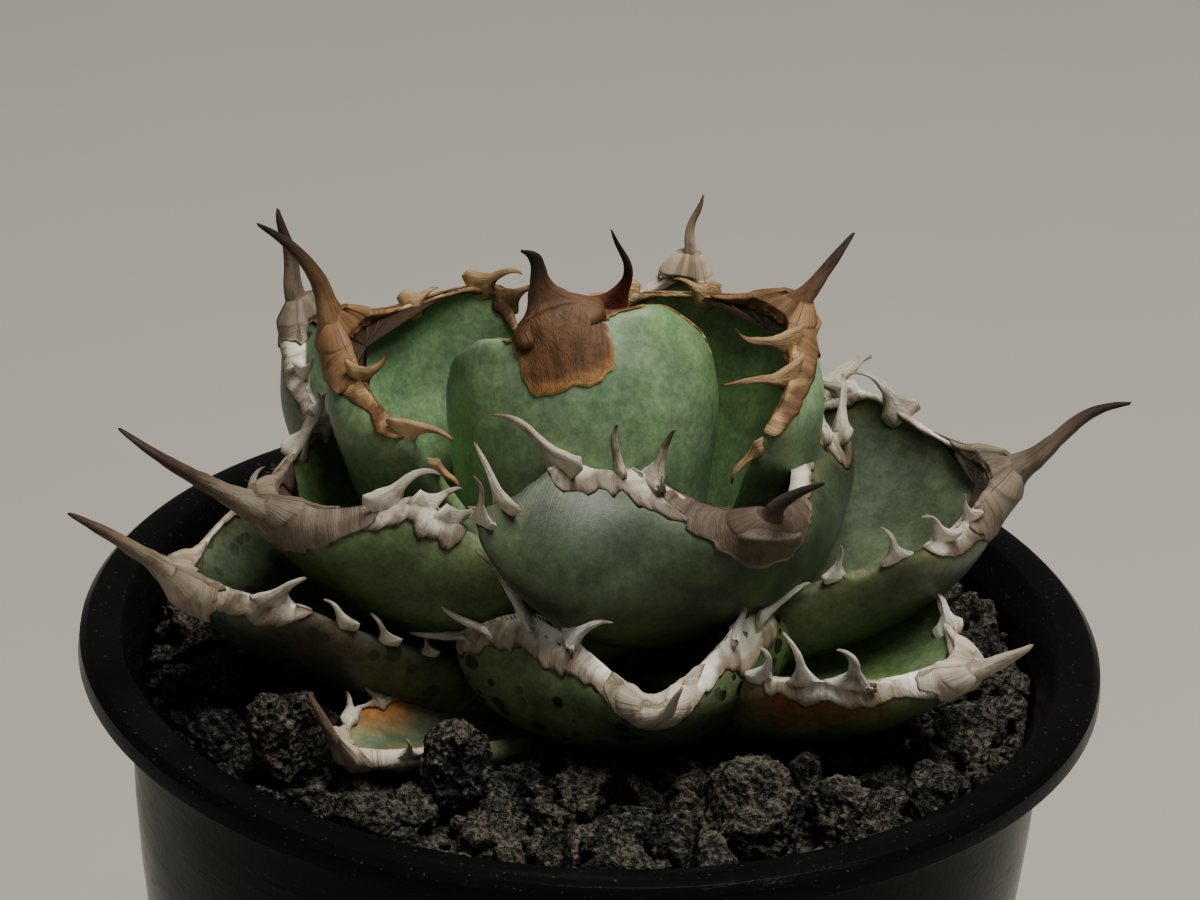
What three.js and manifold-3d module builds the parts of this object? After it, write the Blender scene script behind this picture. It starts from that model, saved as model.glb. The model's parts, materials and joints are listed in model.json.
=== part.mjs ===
// Potted agave titanota: a stout rosette in a round nursery pot with a lava rock top dressing.
// Millimetres, +Z up. The pot's foot is at z = 0 and its axis is the Z axis. The plant, the bed and
// the stones are drawn in a frame whose origin is on that axis at the top of the pot's lip.

import * as THREE from 'three';
import { mergeVertices } from 'three/addons/utils/BufferGeometryUtils.js';
import Module from 'manifold-3d';

// Driving dimensions

const POT_HEIGHT = 108;
const LIP_RADIUS = 70.3;
const LIP_INNER_RADIUS = 63.6;
const LIP_SKIRT = 4.4;
const WALL_TOP_RADIUS = 63;
const FOOT_RADIUS = 44;
const WALL = 1.5;
const FLOOR = 2.4;
const FOOT_RISE = 3.2;
const POT_SIDES = 40;
const DRAIN_HOLES = 6;
const DRAIN_RADIUS = 4.5;
const DRAIN_CIRCLE = 29;

const GAP = 0.3;
const MEDIUM_TOP = -30;
const BED_TOP = -8.5;
const STEM_TOP = 9;

// Sides of the stem and of the bud's heart, as [radius, height] from the foot up.
const STEM_SIDE = [[5, -44], [7.2, -22], [9, -8], [9, 2], [6.3, 9]];
const HEART_SIDE = [[6.2, 9.3], [7.6, 20], [5.6, 32]];
const HEART_TOP = 41;

const EDGE_THICKNESS = 1.5;
const TOOTH_ROOT = 2.4;
const TOOTH_ROOT_HALF = 0.55;
const TOOTH_KNEE = 0.4;
const TOOTH_KNEE_HALF = 0.8;
const BLADE_STEPS = 9;

// The end spine's sections as [place along it, share of its base's width, share of its thickness].
const SPINE_SECTIONS = [[0.02, 1, 1], [0.22, 0.56, 0.8], [0.6, 0.3, 0.5]];

// Where a leaf's section has its corners, across the upper face and back across the under face.
const UPPER_U = [-1, -0.8, -0.42, 0, 0.42, 0.8, 1];
const UNDER_U = [0.92, 0.5, 0, -0.5, -0.92];

// Leaves, from the innermost outwards. azimuth is in degrees from +X, counterclockwise from above.
// rib holds four points of the upper face's midline as [out from the axis, sideways, up], and spine two
// more points of the end spine in the same terms. half is the half width along the face, wrap the half
// angle that the face curls through, and thick the thickness, each at even steps from base to tip.
// roll turns the face about its midline. left and right list the teeth of the two margins as
// [place along the leaf, half base, length, lean to the tip, lift from the face, lean curl, lift curl].

const LEAVES = {
  bud_inner_leaf: {
    azimuth: 90, rib: [[9, 0, 12], [9, 0, 26], [7, 0, 38], [2, 0, 46]], roll: [0, 0],
    half: [10, 15, 18, 17, 13, 7, 2.5], wrap: [60, 100, 110, 100, 70, 50], thick: [4, 3, 2],
    spine: [[2.2, -2, 53], [1, 0.8, 60]], left: [], right: [],
  },
  bud_outer_leaf: {
    azimuth: -95, rib: [[13, -1, 6], [16, -2, 24], [14, -3, 40], [8, -6, 50]], roll: [0, 0],
    half: [15, 25, 31, 33, 28, 16, 4], wrap: [60, 115, 130, 115, 85, 60], thick: [5, 4, 2.5],
    spine: [[8, -8.5, 56.5], [9, -10.5, 61]], left: [], right: [],
  },
  leaf_right_upper: {
    azimuth: 28, rib: [[8, 0, 6], [17.5, 0, 18], [23, 0, 31], [27, 0, 44]], roll: [8, 8],
    half: [12, 15, 18, 21, 24, 22, 5], wrap: [50, 60, 70, 75, 70, 50], thick: [10, 8, 3.5],
    spine: [[31, 0, 47], [39, 0, 53]],
    left: [[0.68, 1.8, 6, -50, 10, -30, 0], [0.84, 2.6, 7, -60, 0, -40, 0], [0.9, 3, 11, -10, 20, -10, 20],
      [0.96, 3, 11, 0, 40, 10, 0]],
    right: [[0.7, 2.4, 6, -10, 10, -20, 0], [0.82, 2.6, 7, -5, 10, -20, 0], [0.93, 2.2, 5, 15, 10, 0, 0]],
  },
  leaf_left_upper: {
    azimuth: 178, rib: [[8, 0, 6], [19, 0, 18], [28, 0, 30], [35, 0, 43]], roll: [-15, -15],
    half: [12, 16, 19, 22, 24, 23, 5], wrap: [50, 65, 75, 75, 70, 50], thick: [10, 8, 3.5],
    spine: [[40, 0, 51], [47, 0, 60]],
    left: [[0.74, 2.4, 6, 10, 10, -30, 0], [0.84, 2.6, 6.5, 10, 15, -25, 0], [0.93, 2.2, 4, 5, 0, 0, 0]],
    right: [[0.66, 1.8, 5, -60, 10, -40, 0], [0.82, 2.6, 9, 10, 25, -150, 0], [0.94, 2.6, 6, 20, 30, 20, 20]],
  },
  leaf_front_upper: {
    azimuth: -62, rib: [[8.5, 2, 11], [20, 5, 16], [27, 7, 22.5], [32, 8, 30.5]], roll: [8, -3],
    half: [13, 25, 37, 32, 26, 17, 4], wrap: [45, 48, 52, 63, 92, 98, 95], thick: [7, 7, 3.5],
    spine: [[35, 9, 34.5], [40, 11, 39.5]],
    left: [[0.36, 1.8, 8, 40, 12, 0, 0], [0.44, 2.2, 9.5, 0, 25, -20, 0], [0.61, 3.8, 12, 5, -28, -20, 0],
      [0.75, 2, 6.5, 50, -15, 0, 0], [0.84, 3.2, 9, 60, 10, 20, 0]],
    right: [[0.46, 3, 10, -5, 5, 0, 0], [0.56, 2.4, 7, 10, 0, 0, 0]],
  },
  leaf_back_upper: {
    azimuth: 74, rib: [[9, 0, 0], [22, 0, 9], [33, 0, 23], [38, 0, 37.5]], roll: [0, 0],
    half: [9, 14, 18, 20, 20, 17, 4], wrap: [45, 55, 62, 62, 55, 45], thick: [9, 8, 3.5],
    spine: [[41, 0, 42.5], [44.5, -1, 47]],
  },
  leaf_left_middle: {
    azimuth: 203, rib: [[9, 0, 3], [20, 0, 11], [34, 0, 17.5], [46.5, 0, 27]], roll: [8, 8],
    half: [11, 16, 19, 20, 20, 18, 5], wrap: [45, 58, 62, 66, 75, 50], thick: [10, 9, 4],
    spine: [[58, 0, 32], [68.5, 0, 40.5]],
    left: [[0.72, 2, 5, -20, 10, 0, 0], [0.8, 2.6, 8, -25, 10, 40, 0], [0.88, 2.4, 8.5, -10, 5, 20, 0]],
    right: [[0.33, 1.8, 5.5, 30, 15, 30, 0], [0.46, 2.2, 7.5, 35, 15, 70, 0],
      [0.64, 2.8, 6, -50, 20, -50, 0], [0.74, 2.4, 6, -40, 15, -20, 0], [0.86, 3.2, 9, 10, 5, -60, 0]],
  },
  leaf_right_middle: {
    azimuth: 5, rib: [[9, 0, 2], [23, 0, 8], [39, 0, 13.5], [54, 0, 25]], roll: [12, 12],
    half: [10, 16, 20, 22, 23, 21, 5], wrap: [45, 60, 70, 72, 68, 50], thick: [10, 9, 4],
    spine: [[62, 0, 30], [72, 0, 37]],
    left: [[0.55, 1.8, 5.5, 25, 20, 0, 0], [0.74, 2.2, 6, 15, 15, -20, 0], [0.87, 2.6, 7, 15, 15, -20, 0],
      [0.93, 2.4, 5, 30, 15, 0, 0]],
    right: [[0.6, 2, 5, -10, 10, 0, 0], [0.74, 2.4, 7, -28, 10, 0, 20], [0.88, 2.6, 9, 10, 10, -50, 0]],
  },
  leaf_back_left: {
    azimuth: 147, rib: [[9, 0, 1], [23, 0, 9], [38, 0, 18], [49, 0, 33]], roll: [0, 0],
    half: [9, 14, 17, 19, 19, 16, 4], wrap: [45, 58, 66, 68, 60, 45], thick: [12, 9, 4],
    spine: [[53, 0, 40], [56, 0, 47]],
  },
  leaf_front_lower: {
    azimuth: -77, rib: [[8.5, 0, 4], [18.5, 1, 1.5], [30, 1, 5.5], [38, 0, 10]], roll: [3, -4],
    half: [13, 19, 25, 23.5, 19, 11, 3.5], wrap: [40, 42, 45, 54, 75, 82, 80], thick: [9, 8, 3.5],
    spine: [[44, 0, 11], [47, 1, 17]],
    left: [[0.38, 1.8, 7, 0, -50, 0, 30], [0.5, 2.2, 8.5, 10, -30, 0, 20], [0.64, 3.4, 13, 28, -12, -10, -5],
      [0.77, 3, 8.5, 80, 35, 0, 0]],
    right: [[0.64, 3.6, 8, 0, -38, 0, 0], [0.75, 3, 4, 28, -10, 0, 0]],
  },
  leaf_back_right: {
    azimuth: 55, rib: [[10, 0, 0], [24, 0, 5], [39, 0, 9], [54, 0, 17]], roll: [0, 0],
    half: [9, 13, 17, 19, 18, 15, 4], wrap: [45, 55, 62, 65, 58, 45], thick: [11, 8, 4],
    spine: [[60, 0, 18], [66, 0, 18]],
  },
  leaf_left_lower: {
    azimuth: 198, rib: [[10, 0, -5], [25, 0, -0.5], [42, 0, 6.5], [57, 0, 15]], roll: [0, 0],
    half: [9, 13, 16, 18, 18, 16, 4], wrap: [45, 50, 52, 52, 55, 45], thick: [10, 8, 4],
    spine: [[65, 0, 20], [73.5, 0, 24.5]],
    left: [[0.6, 2, 5, 0, 10, 0, 0], [0.8, 2.4, 6, 10, 10, -20, 0]],
    right: [[0.44, 1.4, 3, 30, 20, 0, 0], [0.56, 1.8, 5, 50, 20, 20, 0], [0.68, 2, 5, 60, 25, 20, 0],
      [0.86, 3.4, 6, 20, 20, -80, 0]],
  },
  leaf_right_lower: {
    azimuth: -26, rib: [[10, 0, -3], [24, 0, 1], [40, 0, 4], [54, 0, 11]], roll: [5, 5],
    half: [9, 13, 16, 18, 18, 16, 4], wrap: [45, 50, 57, 60, 55, 45], thick: [9, 8, 4],
    spine: [[60, 0, 12], [65, 0, 16]],
    left: [[0.55, 2.4, 6.5, 45, 20, -60, 0], [0.7, 2.6, 8, 10, 25, -40, 0], [0.84, 3.6, 7.5, 50, 20, -70, 0]],
    right: [[0.94, 2.4, 5, 0, 15, -20, 0]],
  },
  leaf_back_lower: {
    azimuth: 112, rib: [[10, 0, -3], [24, 0, 1], [39, 0, 4], [52, 0, 11]], roll: [0, 0],
    half: [9, 13, 16, 18, 17, 14, 4], wrap: [50, 60, 68, 68, 60, 45], thick: [10, 8, 4],
    spine: [[58, 0, 13], [63, 0, 17]],
  },
  leaf_small_front: {
    azimuth: 229, rib: [[12, 3, -9], [26, 3, -5], [38, 1.5, -2], [47, -1, -0.5]], roll: [-10, -10],
    half: [5, 6, 7, 7.5, 7, 6, 2.5], wrap: [50, 55, 55, 50, 45, 40], thick: [5, 5, 3],
    spine: [[50, -2, 3], [52, -3, 8]],
    left: [[0.7, 1.6, 3, 50, 10, 0, 0], [0.88, 1.6, 3, 10, 10, 0, 0]],
    right: [[0.6, 1.6, 3, 10, 20, 0, 0], [0.8, 1.8, 4, 30, 20, 0, 0]],
  },
};

const RULE_TEETH = { from: 0.5, to: 0.95, count: 4, halfBase: 2.6, length: 5.5 };

// Loose stones as [x, y, z of the middle, then the three half sizes].
const LOOSE_STONES = [
  [-40.5, -35, -0.5, 5.6, 5.4, 8.6],
  [-49.5, -13.5, -3.5, 5.4, 5, 4.4],
  [-16.5, -39.5, -1, 5.2, 4.8, 7.6],
  [21, -45.5, -2, 8.4, 7.4, 7.8],
  [33.5, -40.5, -2.5, 4.4, 4.8, 5.4],
  [35.5, -45, -5, 3.8, 3.6, 3.8],
  [-45, 32.5, -1, 4.6, 4.6, 9],
  [-49, -26.5, -4.5, 4.4, 4.2, 4.8],
  [-28, -46.5, -4.5, 7.2, 4.6, 4.2],
  [4.5, -50.5, -4.5, 5, 4.4, 4],
];

const BED_STONES = 50;
const BED_STONES_FROM = 26;
const BED_STONE_HALF = 5.8;

const COLOURS = {
  pot: { color: 0x17181a, roughness: 0.42 },
  bed: { color: 0x2c2a29, roughness: 0.95 },
  medium: { color: 0x2e2620, roughness: 0.97 },
  stone: { color: 0x3a3735, roughness: 0.93 },
  stem: { color: 0x6c7a4c, roughness: 0.7 },
  leaf: { color: 0x4d6b4c, roughness: 0.6 },
  bud: { color: 0x5f8257, roughness: 0.58 },
};

const wasm = await Module();
wasm.setup();

// Seeded draws

function seededRandom(seed) {
  let state = seed;
  return () => {
    state = (state + 0x6d2b79f5) | 0;
    let t = Math.imul(state ^ (state >>> 15), 1 | state);
    t = (t + Math.imul(t ^ (t >>> 7), 61 | t)) ^ t;
    return ((t ^ (t >>> 14)) >>> 0) / 4294967296;
  };
}

// Solids

function toSolid(geometry) {
  const bare = geometry.clone();
  bare.deleteAttribute('normal');
  bare.deleteAttribute('uv');
  const merged = mergeVertices(bare, 1e-4);
  const mesh = new wasm.Mesh({
    numProp: 3,
    vertProperties: new Float32Array(merged.attributes.position.array),
    triVerts: new Uint32Array(merged.index.array),
  });
  return new wasm.Manifold(mesh);
}

function toGeometry(solid) {
  const mesh = solid.getMesh();
  const geometry = new THREE.BufferGeometry();
  geometry.setAttribute('position', new THREE.BufferAttribute(mesh.vertProperties.slice(), 3));
  geometry.setIndex(Array.from(mesh.triVerts));
  geometry.computeVertexNormals();
  return geometry;
}

function biggestPiece(solid) {
  const pieces = solid.decompose();
  return pieces.reduce((best, piece) => (piece.volume() > best.volume() ? piece : best));
}

function closedMesh(points, faces) {
  const geometry = new THREE.BufferGeometry();
  const positions = points.flatMap((point) => [point.x, point.y, point.z]);
  geometry.setAttribute('position', new THREE.Float32BufferAttribute(positions, 3));
  geometry.setIndex(faces.flat());
  return geometry;
}

// Walls between rings of equal count. Each four-cornered face is split along its shorter diagonal.
function ringWalls(points, count) {
  const faces = [];
  for (let ring = 0; ring < points.length / count - 1; ring += 1) {
    for (let i = 0; i < count; i += 1) {
      const a = ring * count + i;
      const b = ring * count + (i + 1) % count;
      const c = b + count;
      const d = a + count;
      if (points[a].distanceTo(points[c]) < points[b].distanceTo(points[d])) {
        faces.push([a, b, c], [a, c, d]);
      } else {
        faces.push([a, b, d], [b, c, d]);
      }
    }
  }
  return faces;
}

// Curves through evenly spaced values

function along(values, s) {
  const last = values.length - 1;
  const k = Math.min(Math.floor(s * last), last - 1);
  const t = s * last - k;
  const before = values[Math.max(k - 1, 0)];
  const from = values[k];
  const to = values[k + 1];
  const after = values[Math.min(k + 2, last)];
  const a = 2 * from;
  const b = (to - before) * t;
  const c = (2 * before - 5 * from + 4 * to - after) * t * t;
  const d = (3 * from - before - 3 * to + after) * t ** 3;
  return (a + b + c + d) / 2;
}

function outwards([out, side, up], azimuth) {
  const a = THREE.MathUtils.degToRad(azimuth);
  const x = out * Math.cos(a) - side * Math.sin(a);
  const y = out * Math.sin(a) + side * Math.cos(a);
  return new THREE.Vector3(x, y, up);
}

// The cubic through the rib's four points, at s = 0, 1/3, 2/3 and 1.
function ribPoint(leaf, s) {
  const weights = [
    -4.5 * (s - 1 / 3) * (s - 2 / 3) * (s - 1),
    13.5 * s * (s - 2 / 3) * (s - 1),
    -13.5 * s * (s - 1 / 3) * (s - 1),
    4.5 * s * (s - 1 / 3) * (s - 2 / 3),
  ];
  const point = new THREE.Vector3();
  leaf.rib.forEach((place, i) => point.addScaledVector(outwards(place, leaf.azimuth), weights[i]));
  return point;
}

// Leaf faces

function leafFrame(leaf, s) {
  const step = 1e-3;
  const point = ribPoint(leaf, s);
  const tangent = ribPoint(leaf, s + step).sub(ribPoint(leaf, s - step)).normalize();
  const across = outwards([0, 1, 0], leaf.azimuth);
  across.addScaledVector(tangent, -across.dot(tangent)).normalize();
  const inward = new THREE.Vector3().crossVectors(tangent, across);
  const roll = THREE.MathUtils.degToRad(along(leaf.roll, s));
  across.applyAxisAngle(tangent, roll);
  inward.applyAxisAngle(tangent, roll);
  return { point, tangent, across, inward };
}

// A point of the upper face at s along and u across (-1 to 1), with its normal and its outward way.
function faceAt(leaf, s, u) {
  const { point, tangent, across, inward } = leafFrame(leaf, s);
  const wrap = THREE.MathUtils.degToRad(along(leaf.wrap, s));
  const radius = along(leaf.half, s) / wrap;
  const angle = u * wrap;
  point.addScaledVector(across, radius * Math.sin(angle));
  point.addScaledVector(inward, radius * (1 - Math.cos(angle)));
  const normal = inward.clone().multiplyScalar(Math.cos(angle)).addScaledVector(across, -Math.sin(angle));
  const outward = across.clone().multiplyScalar(Math.cos(angle)).addScaledVector(inward, Math.sin(angle));
  return { point, normal, outward, tangent };
}

function thicknessAt(leaf, s, u) {
  const full = along(leaf.thick, s);
  const share = Math.max(1 - Math.abs(u) ** 2.4, 0) ** 0.75;
  return EDGE_THICKNESS + (full - EDGE_THICKNESS) * share;
}

// The end face of a section: a strip of triangles between its upper points and its under ones.
function sectionCap() {
  const places = [...UPPER_U, ...UNDER_U];
  const lastUpper = UPPER_U.length - 1;
  const faces = [];
  let upper = 0;
  let under = places.length - 1;
  while (upper < lastUpper || under > lastUpper + 1) {
    const nextUpper = upper < lastUpper ? places[upper + 1] : Infinity;
    const nextUnder = under > lastUpper + 1 ? places[under - 1] : Infinity;
    if (nextUpper <= nextUnder) {
      faces.push([upper, upper + 1, under]);
      upper += 1;
    } else {
      faces.push([upper, under - 1, under]);
      under -= 1;
    }
  }
  return faces;
}

// The blade as a closed skin of sections. grow makes it fatter all round, for the hollow that it needs.
function bladeSolid(leaf, grow) {
  const points = [];
  const fatter = { ...leaf, half: leaf.half.map((half) => half + grow) };
  for (let step = 0; step <= BLADE_STEPS; step += 1) {
    const s = step / BLADE_STEPS;
    for (const u of UPPER_U) {
      const face = faceAt(fatter, s, u);
      points.push(face.point.addScaledVector(face.normal, grow));
    }
    for (const u of UNDER_U) {
      const face = faceAt(fatter, s, u);
      points.push(face.point.addScaledVector(face.normal, -thicknessAt(leaf, s, u) - grow));
    }
  }
  const count = UPPER_U.length + UNDER_U.length;
  const faces = ringWalls(points, count);
  const cap = sectionCap();
  const lastRing = BLADE_STEPS * count;
  faces.push(...cap.map(([a, b, c]) => [a, c, b]));
  faces.push(...cap.map(([a, b, c]) => [a + lastRing, b + lastRing, c + lastRing]));
  return orientedSolid(points, faces);
}

function orientedSolid(points, faces) {
  const solid = toSolid(closedMesh(points, faces));
  if (solid.volume() > 0) {
    return solid;
  }
  return toSolid(closedMesh(points, faces.map(([a, b, c]) => [a, c, b])));
}

// Horn: a tapering bent cone with an oval section, wide along one way and thin across it.
function hornSolid(stations, tip, sides) {
  const points = [];
  for (const { centre, direction, wideWay, wide, thin } of stations) {
    const long = wideWay.clone().addScaledVector(direction, -wideWay.dot(direction)).normalize();
    const short = new THREE.Vector3().crossVectors(direction, long);
    for (let i = 0; i < sides; i += 1) {
      const angle = (i / sides) * Math.PI * 2;
      const point = centre.clone().addScaledVector(long, wide * Math.cos(angle));
      points.push(point.addScaledVector(short, thin * Math.sin(angle)));
    }
  }
  const faces = ringWalls(points, sides);
  const lastRing = (stations.length - 1) * sides;
  points.push(tip);
  for (let i = 0; i < sides; i += 1) {
    faces.push([lastRing + i, lastRing + (i + 1) % sides, points.length - 1]);
  }
  for (let i = 1; i < sides - 1; i += 1) {
    faces.push([0, i + 1, i]);
  }
  return orientedSolid(points, faces);
}

// A tooth of the margin. Its heading turns from root to tip by the two curls.
function toothSolid(leaf, side, [s, halfBase, length, lean, lift, leanCurl, liftCurl]) {
  const face = faceAt(leaf, s, side);
  const outward = face.outward.multiplyScalar(side);
  const heading = (share) => {
    const a = THREE.MathUtils.degToRad(lean + leanCurl * share);
    const b = THREE.MathUtils.degToRad(lift + liftCurl * share);
    const inPlane = outward.clone().multiplyScalar(Math.cos(a)).addScaledVector(face.tangent, Math.sin(a));
    return inPlane.multiplyScalar(Math.cos(b)).addScaledVector(face.normal, Math.sin(b));
  };
  const foot = face.point.clone().addScaledVector(face.normal, -EDGE_THICKNESS / 2);
  const knee = foot.clone().addScaledVector(heading(0.2), length * TOOTH_KNEE);
  const tip = knee.clone().addScaledVector(heading(0.8), length * (1 - TOOTH_KNEE));
  const root = foot.clone().addScaledVector(outward, -TOOTH_ROOT);
  const wideWay = face.tangent;
  return hornSolid([
    { centre: root, direction: outward, wideWay, wide: halfBase, thin: TOOTH_ROOT_HALF },
    { centre: knee, direction: heading(0.5), wideWay, wide: halfBase / 2, thin: TOOTH_KNEE_HALF },
  ], tip, 4);
}

function endSpineSolid(leaf) {
  const base = faceAt(leaf, 0.93, 0);
  const end = faceAt(leaf, 1, 0);
  const lowered = (face) => face.point.addScaledVector(face.normal, -along(leaf.thick, 1) / 2);
  const root = lowered(base);
  const start = lowered(end);
  const middle = outwards(leaf.spine[0], leaf.azimuth);
  const tip = outwards(leaf.spine[1], leaf.azimuth);
  const curve = new THREE.QuadraticBezierCurve3(
    start,
    middle.clone().multiplyScalar(2).addScaledVector(start, -0.5).addScaledVector(tip, -0.5),
    tip,
  );
  const across = leafFrame(leaf, 1).across;
  const wide = along(leaf.half, 1) * 0.82;
  const thin = along(leaf.thick, 1) * 0.6;
  const sections = SPINE_SECTIONS.map(([t, wideShare, thinShare]) => ({
    centre: curve.getPoint(t),
    direction: curve.getTangent(t),
    wideWay: across,
    wide: wide * wideShare,
    thin: thin * thinShare,
  }));
  const rooted = { ...sections[0], centre: root, wide: wide * 0.9, thin: thin * 0.6 };
  return hornSolid([rooted, ...sections], tip, 5);
}

// Margins that no list describes get teeth at even steps, with seeded differences.
function ruleTeeth(seed) {
  const random = seededRandom(seed);
  const { from, to, count, halfBase, length } = RULE_TEETH;
  const teeth = [];
  for (let i = 0; i < count; i += 1) {
    const s = from + ((to - from) * (i + 0.6 * random())) / count;
    const grown = length * (0.75 + 0.6 * random());
    teeth.push([s, halfBase, grown, -20 + 60 * random(), 10 + 10 * random(), -40 + 60 * random(), 0]);
  }
  return teeth;
}

// The horns of a leaf. A tooth that would grow into one of the obstacles is left out, as on the pressed
// parts of a real margin.
function hornSolids(leaf, seed, obstacles) {
  const left = leaf.left ?? ruleTeeth(seed);
  const right = leaf.right ?? ruleTeeth(seed + 500);
  const teeth = [
    ...left.map((tooth) => toothSolid(leaf, -1, tooth)),
    ...right.map((tooth) => toothSolid(leaf, 1, tooth)),
  ];
  return [endSpineSolid(leaf), ...teeth.filter((tooth) => tooth.intersect(obstacles).isEmpty())];
}

// Pot

function potProfile() {
  const inner = WALL_TOP_RADIUS - WALL;
  const lipTop = POT_HEIGHT;
  const underLip = POT_HEIGHT - LIP_SKIRT;
  const flare = WALL_TOP_RADIUS - FOOT_RADIUS;
  const wall = (share) => FOOT_RADIUS + flare * Math.sin(share * Math.PI / 2) ** 0.85;
  const outline = [[0, 0], [FOOT_RADIUS - 3, 0], [FOOT_RADIUS - 0.9, 1], [FOOT_RADIUS + 0.4, FOOT_RISE]];
  const shares = [0.3, 0.65];
  for (const share of shares) {
    outline.push([wall(share), FOOT_RISE + share * (underLip - FOOT_RISE)]);
  }
  outline.push([WALL_TOP_RADIUS, underLip + 0.4]);
  outline.push([LIP_RADIUS - 0.9, underLip], [LIP_RADIUS, underLip + 0.8], [LIP_RADIUS - 0.2, lipTop - 1.4]);
  outline.push([LIP_RADIUS - 1.2, lipTop - 0.35], [LIP_RADIUS - 2.8, lipTop]);
  outline.push([LIP_INNER_RADIUS + 1, lipTop - 0.2], [LIP_INNER_RADIUS, lipTop - 1.2], [inner, lipTop - 4.5]);
  for (const share of shares.toReversed()) {
    outline.push([wall(share) - WALL, FOOT_RISE + share * (underLip - FOOT_RISE)]);
  }
  outline.push([FOOT_RADIUS - 2.2, FLOOR + 1.6], [FOOT_RADIUS - 4.5, FLOOR], [0, FLOOR]);
  return outline.map(([radius, z]) => new THREE.Vector2(radius, z));
}

function latheUp(profile, sides) {
  return new THREE.LatheGeometry(profile, sides).rotateX(Math.PI / 2);
}

function potSolid() {
  const shell = orientedLathe(potProfile(), POT_SIDES);
  const holes = [];
  for (let i = 0; i < DRAIN_HOLES; i += 1) {
    const angle = (i / DRAIN_HOLES) * Math.PI * 2;
    const hole = new THREE.CylinderGeometry(DRAIN_RADIUS, DRAIN_RADIUS, 4 * FLOOR, 16).rotateX(Math.PI / 2);
    hole.translate(DRAIN_CIRCLE * Math.cos(angle), DRAIN_CIRCLE * Math.sin(angle), FLOOR / 2);
    holes.push(toSolid(hole));
  }
  return shell.subtract(wasm.Manifold.union(holes));
}

function orientedLathe(profile, sides) {
  const solid = toSolid(latheUp(profile, sides));
  if (solid.volume() > 0) {
    return solid;
  }
  return toSolid(latheUp(profile.toReversed(), sides));
}

// The pot's inner face from the floor up, in the lip's frame.
function potInside() {
  const profile = potProfile();
  const inside = profile.slice(profile.length / 2 + 1).filter((point) => point.x > 0);
  return inside.reverse().map((point) => new THREE.Vector2(point.x, point.y - POT_HEIGHT));
}

function insideRadius(z) {
  const inside = potInside();
  const above = Math.max(inside.findIndex((point) => point.y >= z), 1);
  const lower = inside[above - 1];
  const upper = inside[above];
  return lower.x + ((upper.x - lower.x) * (z - lower.y)) / (upper.y - lower.y);
}

// A filling that follows the pot's inner face from one height up to another.
function fillingSolid(bottom, top) {
  const rows = potInside().filter((point) => point.y > bottom && point.y < top);
  const side = [
    new THREE.Vector2(insideRadius(bottom), bottom),
    ...rows,
    new THREE.Vector2(insideRadius(top), top),
  ];
  return orientedLathe([
    new THREE.Vector2(0, bottom),
    ...side.map((point) => new THREE.Vector2(point.x - GAP, point.y)),
    new THREE.Vector2(0, top),
  ], POT_SIDES);
}

// Stones: a ball of flat faces with its corners drawn in or out, cut flat by a few random planes.
function stoneGeometry(seed, halves, detail) {
  const random = seededRandom(seed);
  const ball = new THREE.IcosahedronGeometry(1, detail);
  ball.deleteAttribute('normal');
  ball.deleteAttribute('uv');
  const stone = mergeVertices(ball, 1e-4);
  const planes = [];
  for (let i = 0; i < 7; i += 1) {
    const way = new THREE.Vector3(random() - 0.5, random() - 0.5, random() - 0.5).normalize();
    planes.push(new THREE.Plane(way, -0.5 - 0.25 * random()));
  }
  const turn = new THREE.Euler(random() * 6, random() * 6, random() * 6);
  const position = stone.attributes.position;
  const point = new THREE.Vector3();
  for (let i = 0; i < position.count; i += 1) {
    point.fromBufferAttribute(position, i).applyEuler(turn).multiplyScalar(0.9 + 0.3 * random());
    for (const plane of planes) {
      const over = plane.distanceToPoint(point);
      if (over > 0) {
        point.addScaledVector(plane.normal, -0.8 * over);
      }
    }
    position.setXYZ(i, point.x * halves[0], point.y * halves[1], point.z * halves[2]);
  }
  return stone;
}

function stoneSolid(seed, [x, y, z, ...halves], detail, grow) {
  const stone = stoneGeometry(seed, halves, detail);
  const middle = halves.reduce((sum, half) => sum + half) / 3;
  const scale = 1 + grow / middle;
  return toSolid(stone.scale(scale, scale, scale).translate(x, y, z));
}

function bedStones() {
  const random = seededRandom(77);
  const goldenTurn = Math.PI * (3 - Math.sqrt(5));
  const stones = [];
  for (let i = 0; i < BED_STONES; i += 1) {
    const half = BED_STONE_HALF * (0.75 + 0.5 * random());
    const reach = insideRadius(BED_TOP) - 1.25 * half;
    const radius = Math.sqrt(THREE.MathUtils.lerp(BED_STONES_FROM ** 2, reach ** 2, i / (BED_STONES - 1)));
    const angle = i * goldenTurn + 0.3 * random();
    const z = BED_TOP + 0.35 * half + 1.2 * random();
    const place = [radius * Math.cos(angle), radius * Math.sin(angle), z];
    const halves = [0.85, 0.85, 0.7].map((least) => half * (least + 0.3 * random()));
    stones.push(stoneSolid(900 + i, [...place, ...halves], 0, 0));
  }
  return stones;
}

// Stem and heart

// A turned core through the points of its side. grow makes it fatter all round.
function coreSolid(side, top, grow, sides) {
  const rows = side.map(([radius, z], row) => new THREE.Vector2(radius + grow, row === 0 ? z - grow : z));
  const foot = new THREE.Vector2(0, rows[0].y);
  return orientedLathe([foot, ...rows, new THREE.Vector2(0, top + grow)], sides);
}

function stemSolid(grow) {
  return coreSolid(STEM_SIDE, STEM_TOP, grow, 20);
}

// The closed point of the youngest leaves, inside the wrapped bud leaves.
function heartSolid(grow) {
  return coreSolid(HEART_SIDE, HEART_TOP, grow, 14);
}

// Assembly

const plant = new THREE.Group();
plant.position.z = POT_HEIGHT;

function addNode(parent, name, solid, colours) {
  const material = new THREE.MeshStandardMaterial({ ...colours, metalness: 0 });
  const mesh = new THREE.Mesh(toGeometry(solid), material);
  mesh.name = name;
  parent.add(mesh);
}

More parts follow.
